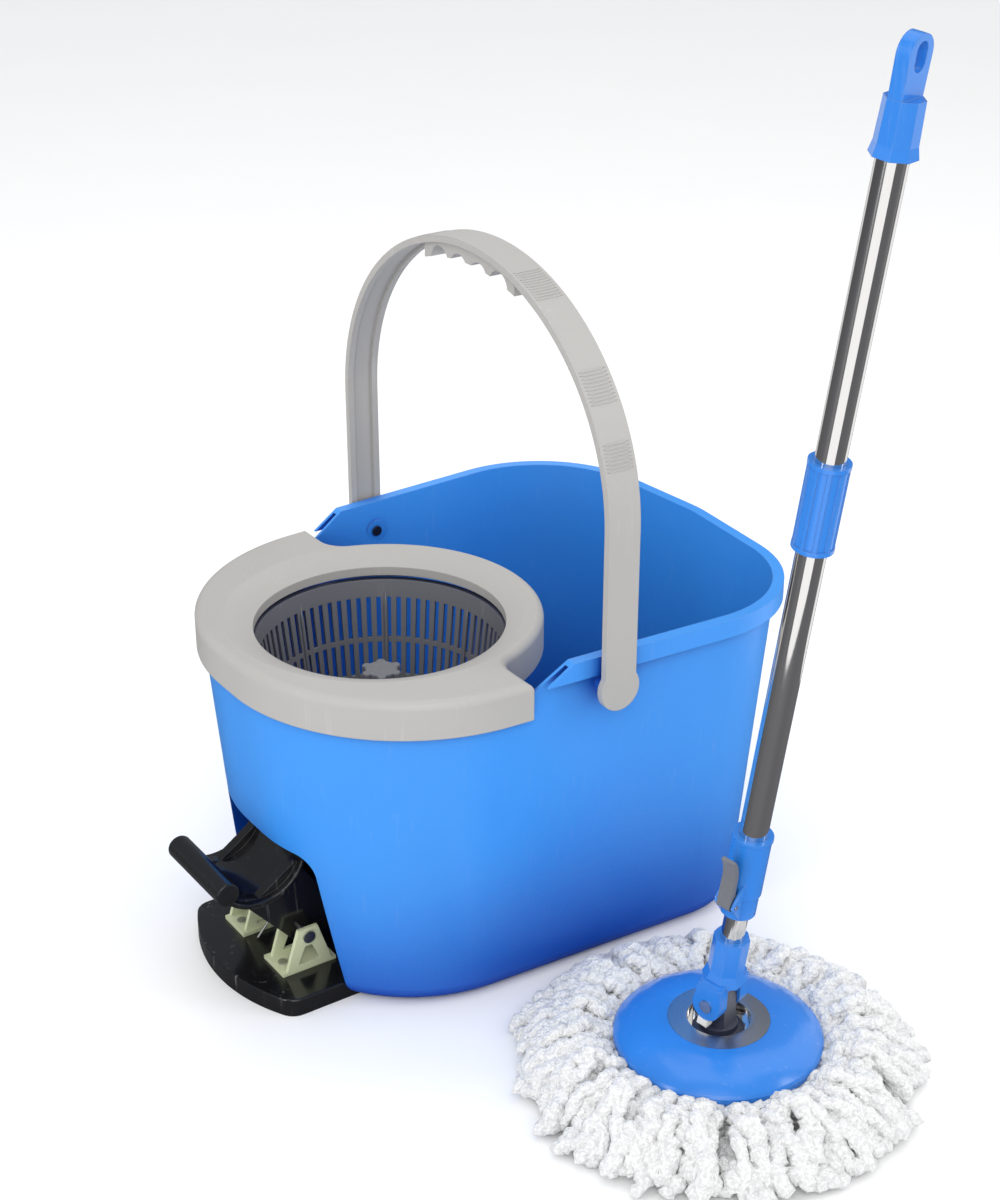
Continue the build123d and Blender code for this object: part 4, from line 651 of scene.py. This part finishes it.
# ---------------------------------------------------------------- sub-assemblies
@dataclass
class HandleAxes:
    """Place and directions of the mop's leaning handle, taken from its joints."""

    origin: Array
    side: Array
    front: Array
    along: Array

    @classmethod
    def from_joints(cls, joints: list[dict]) -> HandleAxes:
        """Read the tilt and slide joints of the frame."""
        named = {joint["name"]: joint for joint in joints}
        side = unit(np.array(named["handle_tilt"]["axis"], float))
        along = unit(np.array(named["handle_slide"]["axis"], float))
        origin = np.array(named["handle_tilt"]["pos_m"], float)
        return cls(origin, side, np.cross(along, side), along)

    def euler(self) -> Rgb:
        """Rotation that turns Z onto the handle, as Euler angles."""
        turned = Matrix(np.stack([self.side, self.front, self.along], axis=1).tolist())
        return tuple(turned.to_euler())


@dataclass
class Finishes:
    """All materials, one for each kind of surface."""

    made: dict[Slot, bpy.types.Material]

    @classmethod
    def build(cls, handle: HandleAxes, mop: Array) -> Finishes:
        """Make every finish.

        Args:
            handle: Axes of the handle, for lines along its tubes.
            mop: Centre of the mop head, for turned lines.

        Returns:
            The finishes by slot.
        """
        for make in (moulded_surface_group, edge_wear_group, turned_metal_group, chenille_group):
            make()
        centre = (float(mop[0]), float(mop[1]), 0.0)
        foot = tuple(float(c) for c in handle.origin)
        made = {
            # blue_satin gets painted shade inside the tub's hollows
            Slot.BLUE: MouldedPlastic("blue_satin", (0.04, 0.28, 0.80), 0.36, shade=0.05,
                                      subsurface=0.06, scuff=0.12, wear=0.3,
                                      painted_hollow_shade=(0.004, 0.062, 0.42)),
            Slot.FITTINGS: MouldedPlastic("blue_gloss", (0.025, 0.20, 0.66), 0.22, coat=0.3,
                                          grain_depth=0.00001, scuff=0.15),
            Slot.WARM_GREY: MouldedPlastic("warm_grey", (0.40, 0.39, 0.375), 0.5, grain_size=1100.0,
                                           grain_depth=0.00004, scuff=0.4),
            # painted shade in the hollows of this grey plastic
            Slot.MID_GREY: MouldedPlastic("mid_grey", (0.15, 0.155, 0.175), 0.38, scuff=0.3,
                                          painted_hollow_shade=(0.035, 0.04, 0.07), painted_shade_reach=0.05),
            Slot.BLACK: MouldedPlastic("black_gloss", (0.008, 0.008, 0.009), 0.2, coat=0.5,
                                       grain_depth=0.000012, scuff=0.35, wear=0.25),
            Slot.CREAM: MouldedPlastic("cream_nylon", (0.62, 0.66, 0.44), 0.38, subsurface=0.3,
                                       grain_depth=0.00002),
            Slot.WHITE: MouldedPlastic("white_nylon", (0.80, 0.80, 0.78), 0.4, subsurface=0.2),
            Slot.CHROME: WorkedMetal("chromed_tube", (0.80, 0.79, 0.78), 0.05, 0.0, origin=foot,
                                     turn=handle.euler(), depth=0.0000008, smudge=0.05, tone=0.05),
            Slot.BRUSHED: WorkedMetal("brushed_ring", (0.60, 0.60, 0.60), 0.26, 1.0, origin=centre,
                                      rings=1400.0, depth=0.00003, tone=0.3),
            Slot.ZINC: WorkedMetal("zinc_steel", (0.62, 0.62, 0.63), 0.3, 0.5, rings=700.0,
                                   tone=0.25),
            Slot.RUBBER: MouldedPlastic("black_rubber", (0.02, 0.02, 0.02), 0.8, grain_size=900.0,
                                        grain_depth=0.00008, wear=0.1),
            # second colour is the painted shade in the pile's pits, at the roots and on lower
            # layers
            Slot.YARN: ChenilleYarn("white_chenille", (0.88, 0.88, 0.87), (0.50, 0.51, 0.53)),
        }
        return cls({slot: finish.build() for slot, finish in made.items()})

    def dress(self, nodes: dict, subparts: list[dict]) -> None:
        """Give every shown frame node the material of its slot."""
        for part in subparts:
            node = nodes[part["node"]]
            node.data.materials.clear()
            node.data.materials.append(self.made[Slot(part["material_slot"])])
            log.info("dressed %s as %s", part["node"], part["material_slot"])


@dataclass
class YarnLayer:
    """Sizes of one layer of strands, in millimetres."""

    name: str
    count: int
    thickness: float
    root: tuple[float, float]
    rise: tuple[float, float]
    crown: tuple[float, float]
    tip: tuple[float, float]
    # painted shade given to the whole layer; lower and inner layers get more
    depth: float


@dataclass
class YarnHead:
    """Round head of chenille strands that stands for the frame's yarn solid."""

    centre: Array
    seed: int = 7
    rings: int = 46
    sides: int = 8
    lump: float = 8.5
    curl: float = 1.7
    curl_pitch: float = 24.0
    tuft: float = 0.07
    flat: float = 0.86
    layers: tuple[YarnLayer, ...] = (
        YarnLayer("yarn_top", 92, 5.7, (64, 17), (84, 28), (100, 52), (131, 7.0), 0.0),
        YarnLayer("yarn_upper", 96, 6.0, (64, 11), (88, 20), (104, 42), (136, 6.4), 0.05),
        YarnLayer("yarn_lower", 96, 6.0, (60, 8), (80, 12), (108, 22), (139, 6.2), 0.12),
        YarnLayer("yarn_inner", 70, 6.0, (40, 16), (70, 7), (90, 7), (116, 6.0), 0.3),
    )

    def strand_paths(self, layer: YarnLayer, draw: np.random.Generator) -> tuple[Array, Array]:
        """Paths and radii of one layer.

        Each strand is a cubic Bezier curve of radius and height from root to tip, turned about
        the head's axis by its own angle plus a slow sideways wave that grows to the tip. A
        helix of the curl's size and pitch is added to height and turn. Its
        radius is the yarn's times one plus two waves along it, closed by a round tip.

        Args:
            layer: The layer's sizes.
            draw: Seeded random numbers.

        Returns:
            Paths, strand by ring by 3, and radii, strand by ring by side.
        """
        share = np.linspace(0.0, 1.0, self.rings)
        rest = 1 - share
        weights = np.stack([rest**3, 3 * share * rest**2, 3 * share**2 * rest, share**3], -1)
        posts = np.array([layer.root, layer.rise, layer.crown, layer.tip], float)[None]
        posts = np.repeat(posts, layer.count, axis=0)
        posts[:, 1:3, 1] *= 1 + 0.16 * draw.standard_normal((layer.count, 1)).clip(-1.6, 1.2)
        posts[:, 2, 0] += 6.0 * draw.standard_normal(layer.count)
        posts[:, 3, 0] += 5.5 * draw.standard_normal(layer.count).clip(-2.2, 1.6)
        curve = np.einsum("rp,spc->src", weights, posts)
        step = 2 * np.pi / layer.count
        start = np.arange(layer.count) * step + 0.45 * step * draw.standard_normal(layer.count)
        sway = 0.07 * draw.standard_normal((layer.count, 1))
        beat = draw.uniform(1.0, 2.6, (layer.count, 1))
        phase = draw.uniform(0.0, 2 * np.pi, (layer.count, 1))
        lean = 0.05 * draw.standard_normal((layer.count, 1))
        turn = start[:, None] + lean * share + sway * share * np.sin(np.pi * beat * share + phase)
        length = layer.tip[0] - layer.root[0]
        twist = 2 * np.pi * draw.uniform(0.7, 1.3, (layer.count, 1))
        twist = twist * length / self.curl_pitch * share
        twist = twist + draw.uniform(0.0, 2 * np.pi, (layer.count, 1))
        loose = self.curl * np.clip(share / 0.25, 0, 1)
        curve[..., 1] += loose * np.cos(twist)
        reach = curve[..., 0]
        turn = turn + loose * np.sin(twist) / reach
        waves = [draw.uniform(0.8, 1.25, (layer.count, 1)) * length / self.lump * k
                 for k in (1.0, 1.9)]
        lumps = sum(
            amount * np.sin(2 * np.pi * wave * share + draw.uniform(0, 6.28, (layer.count, 1)))
            for amount, wave in zip((0.17, 0.10), waves)
        )
        close = np.sqrt(np.clip(1 - ((share - 0.955) / 0.045).clip(0, 1) ** 2, 0.02, 1))
        radius = layer.thickness * (1 + lumps) * close * draw.uniform(0.85, 1.12, (layer.count, 1))
        tufts = draw.standard_normal((layer.count, self.rings, self.sides))
        radius = radius[..., None] * (1 + self.tuft * tufts)
        height = np.maximum(curve[..., 1], radius.max(-1) * 0.95 + 0.1)
        path = np.stack([reach * np.cos(turn), reach * np.sin(turn), height], -1)
        return path * MM, radius * MM

    def build(self, finish: bpy.types.Material) -> None:
        """Build every layer and let them stand for the yarn solid."""
        draw = np.random.default_rng(self.seed)
        for layer in self.layers:
            paths, radii = self.strand_paths(layer, draw)
            paths[..., :2] += self.centre[:2]
            points, faces = tubes(paths, radii, self.sides, flat=self.flat)
            piece = place_piece(layer.name, points, faces, Body.MOP_HEAD, finish)
            span = np.linalg.norm(points[:, :2] - self.centre[:2], axis=1)
            # painted shade: strands darken near their roots under the plate, and each layer by its
            # depth
            painted_root_shade = np.clip((0.082 - span) / 0.016, 0, 1)
            shade = piece.data.attributes.new("depth", "FLOAT", "POINT")
            shade.data.foreach_set("value", (layer.depth + 0.35 * painted_root_shade).astype(np.float32))
            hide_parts("yarn_head")


@dataclass
class StrapDetails:
    """Fine transverse ribs on the outer face of the folding strap, in millimetres."""

    pivot_x: float
    half: float = 171.0
    leg_top: float = 362.0
    rise: float = 158.0
    width: float = 22.0
    groups: tuple[tuple[float, int], ...] = ((66.0, 12), (36.0, 10), (19.0, 8))
    pitch: float = 2.6
    rib_width: float = 1.5
    rib_height: float = 0.5

    def build(self, finish: bpy.types.Material) -> None:
        """Build the ribs: each lies across the strap at an angle of the arch's ellipse."""
        angles = []
        for middle, count in self.groups:
            step = self.pitch / (0.5 * (self.half + self.rise))
            angles.append(np.radians(middle) + (np.arange(count) - (count - 1) / 2) * step)
        angle = np.concatenate(angles)
        angle = np.concatenate([angle, np.pi - angle])
        zero = np.zeros_like(angle)
        centre = np.stack([zero + self.pivot_x, self.half * np.cos(angle),
                           self.leg_top + self.rise * np.sin(angle)], -1)
        up = unit(np.stack([zero, np.cos(angle) / self.half, np.sin(angle) / self.rise], -1))
        along = np.tile([1.0, 0.0, 0.0], (len(angle), 1))
        across = np.cross(up, along)
        size = (self.width * MM, self.rib_width * MM, self.rib_height * MM)
        points, faces = ridges(centre * MM, along, across, up, size)
        place_piece("strap_ribs", points, faces, Body.BAIL, finish)


@dataclass
class BasketDetails:
    """Upright ribs inside the spin basket, in millimetres."""

    ribs: int = 8
    rib_width: float = 3.2
    rib_height: float = 1.6
    low: tuple[float, float] = (80.6, 160.0)
    high: tuple[float, float] = (89.4, 236.0)

    def build(self, finish: bpy.types.Material) -> None:
        """Build the ribs: each runs up the wall and leans out with it."""
        angle = np.linspace(0, 2 * np.pi, self.ribs, endpoint=False) + 0.2
        outward = np.stack([np.cos(angle), np.sin(angle), 0 * angle], -1)
        foot = outward * self.low[0] + np.array([0, 0, self.low[1]])
        head = outward * self.high[0] + np.array([0, 0, self.high[1]])
        along = unit(head - foot)
        across = np.stack([-np.sin(angle), np.cos(angle), 0 * angle], -1)
        up = np.cross(along, across)
        length = float(np.linalg.norm((head - foot)[0]))
        points, faces = ridges((foot + head) / 2 * MM, along, across, up,
                               (length * MM, self.rib_width * MM, self.rib_height * MM))
        place_piece("basket_ribs", points, faces, Body.BASKET, finish)


@dataclass
class Studio:
    """Floor, lights, reflection cards and camera.

    surround lights the scene, mirrored is what shiny surfaces see of it, and the cards stand
    card_reach metres round the mop.
    """

    camera_place: Rgb
    yaw: float
    pitch: float
    lens: float
    surround: Rgba = (0.95, 0.955, 0.96, 1.0)
    mirrored: Rgba = (0.20, 0.21, 0.23, 1.0)
    mop: tuple[float, float] = (0.09, -0.288)
    card_reach: float = 0.5
    card_height: float = 1.6

    def floor(self) -> None:
        """Build the pale floor, faintly mottled, and dark where metal mirrors it."""
        material, tree, shader = blank_material("pale_floor")
        noise = tree.add("ShaderNodeTexNoise", Scale=3.0, Detail=4.0)
        tree.link(tree.add("ShaderNodeTexCoord").outputs["Object"], noise.inputs["Vector"])
        color = tree.blend(noise.outputs["Fac"], (0.93, 0.93, 0.935, 1.0),
                           (0.955, 0.955, 0.955, 1.0))
        glossy = tree.add("ShaderNodeLightPath").outputs["Is Glossy Ray"]
        tree.link(tree.blend(glossy, color, (0.10, 0.10, 0.105, 1.0)), shader.inputs["Base Color"])
        shader.inputs["Roughness"].default_value = 0.6
        shader.inputs["Specular IOR Level"].default_value = 0.2
        half = 14.0
        mesh = bpy.data.meshes.new("floor")
        corners = [(-half, -half, 0), (half, -half, 0), (half, half, 0), (-half, half, 0)]
        mesh.from_pydata(corners, [], [(0, 1, 2, 3)])
        mesh.materials.append(material)
        floor = bpy.data.objects.new("floor", mesh)
        bpy.context.scene.collection.objects.link(floor)

    def lamp(
        self, name: str, place: Rgb, target: Rgb, size: tuple[float, float], watts: float,
    ) -> None:
        """Add one soft rectangular lamp that faces a point."""
        light = bpy.data.lights.new(name, "AREA")
        light.shape = "RECTANGLE"
        light.size, light.size_y = size
        light.energy = watts
        lamp = bpy.data.objects.new(name, light)
        lamp.matrix_world = facing(place, target)
        bpy.context.scene.collection.objects.link(lamp)

    def card(self, name: str, bearing: float, width: float, strength: float) -> None:
        """Stand one card on the floor round the mop, which shows only in reflections.

        Args:
            name: Name of the card.
            bearing: Its direction from the mop, in degrees about +Z from the camera's side.
            width: Its width in metres.
            strength: Brightness of its glow, 0 for a black card.
        """
        material, _, shader = blank_material(name)
        shader.inputs["Base Color"].default_value = (0.0, 0.0, 0.0, 1.0)
        shader.inputs["Roughness"].default_value = 1.0
        shader.inputs["Specular IOR Level"].default_value = 0.0
        shader.inputs["Emission Color"].default_value = (1.0, 1.0, 1.0, 1.0)
        shader.inputs["Emission Strength"].default_value = strength
        mesh = bpy.data.meshes.new(name)
        wide, tall = width / 2, self.card_height / 2
        corners = [(-wide, -tall, 0), (wide, -tall, 0), (wide, tall, 0), (-wide, tall, 0)]
        mesh.from_pydata(corners, [], [(0, 1, 2, 3)])
        mesh.materials.append(material)
        towards = math.atan2(self.camera_place[1] - self.mop[1], self.camera_place[0] - self.mop[0])
        turn = towards + math.radians(bearing)
        place = (self.mop[0] + self.card_reach * math.cos(turn),
                 self.mop[1] + self.card_reach * math.sin(turn), tall)
        card = bpy.data.objects.new(name, mesh)
        card.matrix_world = facing(place, (self.mop[0], self.mop[1], tall))
        bpy.context.scene.collection.objects.link(card)
        card.visible_camera = False
        card.visible_diffuse = False
        card.visible_shadow = False
        card.visible_transmission = False

    def build(self) -> None:
        """Set floor, world, lamps and camera."""
        self.floor()
        scene = bpy.context.scene
        world = bpy.data.worlds.new("studio")
        world.use_nodes = True
        tree = Tree(world.node_tree)
        background = world.node_tree.nodes["Background"]
        path = tree.add("ShaderNodeLightPath")
        tree.link(tree.blend(path.outputs["Is Glossy Ray"], self.surround, self.mirrored),
                  background.inputs["Color"])
        scene.world = world
        scene.view_settings.view_transform = "Standard"
        middle = (0.08, -0.12, 0.2)
        self.lamp("key", (-1.5, -2.2, 2.4), middle, (1.3, 1.3), 26.0)
        self.lamp("top", (0.5, 0.4, 2.6), middle, (2.2, 2.2), 12.0)
        self.lamp("strip_left", (-2.2, -0.3, 0.9), middle, (0.35, 2.4), 12.0)
        self.lamp("strip_right", (1.7, -1.5, 0.9), middle, (0.35, 2.4), 12.0)
        self.card("card_front", 0.0, 0.55, 1.15)
        self.card("card_edge_right", 128.0, 0.35, 1.0)
        self.card("card_edge_left", -150.0, 0.3, 0.8)
        data = bpy.data.cameras.new("camera")
        data.sensor_width = 36.0
        data.lens = self.lens
        data.clip_end = 100.0
        camera = bpy.data.objects.new("camera", data)
        yaw, pitch = math.radians(self.yaw), math.radians(self.pitch)
        ahead = np.array([math.sin(yaw) * math.cos(pitch), math.cos(yaw) * math.cos(pitch),
                          -math.sin(pitch)])
        place = np.array(self.camera_place)
        camera.matrix_world = facing(tuple(place), tuple(place + ahead))
        scene.collection.objects.link(camera)
        scene.camera = camera


def facing(place: Rgb, target: Rgb) -> Matrix:
    """Matrix at a place whose -Z looks at a target with Y up."""
    ahead = Vector(target) - Vector(place)
    matrix = ahead.to_track_quat("-Z", "Y").to_matrix().to_4x4()
    matrix.translation = Vector(place)
    return matrix


def main() -> None:
    """Build every sub-assembly around the frame and report each."""
    logging.basicConfig(level=logging.INFO, format="%(message)s")
    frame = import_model()
    handle = HandleAxes.from_joints(frame["joints"])
    low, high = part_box("head_plate")
    mop = np.array((low + high) / 2)
    finishes = Finishes.build(handle, mop)
    finishes.dress(frame["nodes"], frame["record"]["subparts"])
    YarnHead(mop).build(finishes.made[Slot.YARN])
    low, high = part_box("bail_handle")
    StrapDetails(float(low[0] + high[0]) / 2 / MM).build(finishes.made[Slot.WARM_GREY])
    BasketDetails().build(finishes.made[Slot.MID_GREY])
    Studio((-0.687, -1.171, 0.924), 34.05, 25.8, 63.0).build()


if __name__ == "__main__":
    main()
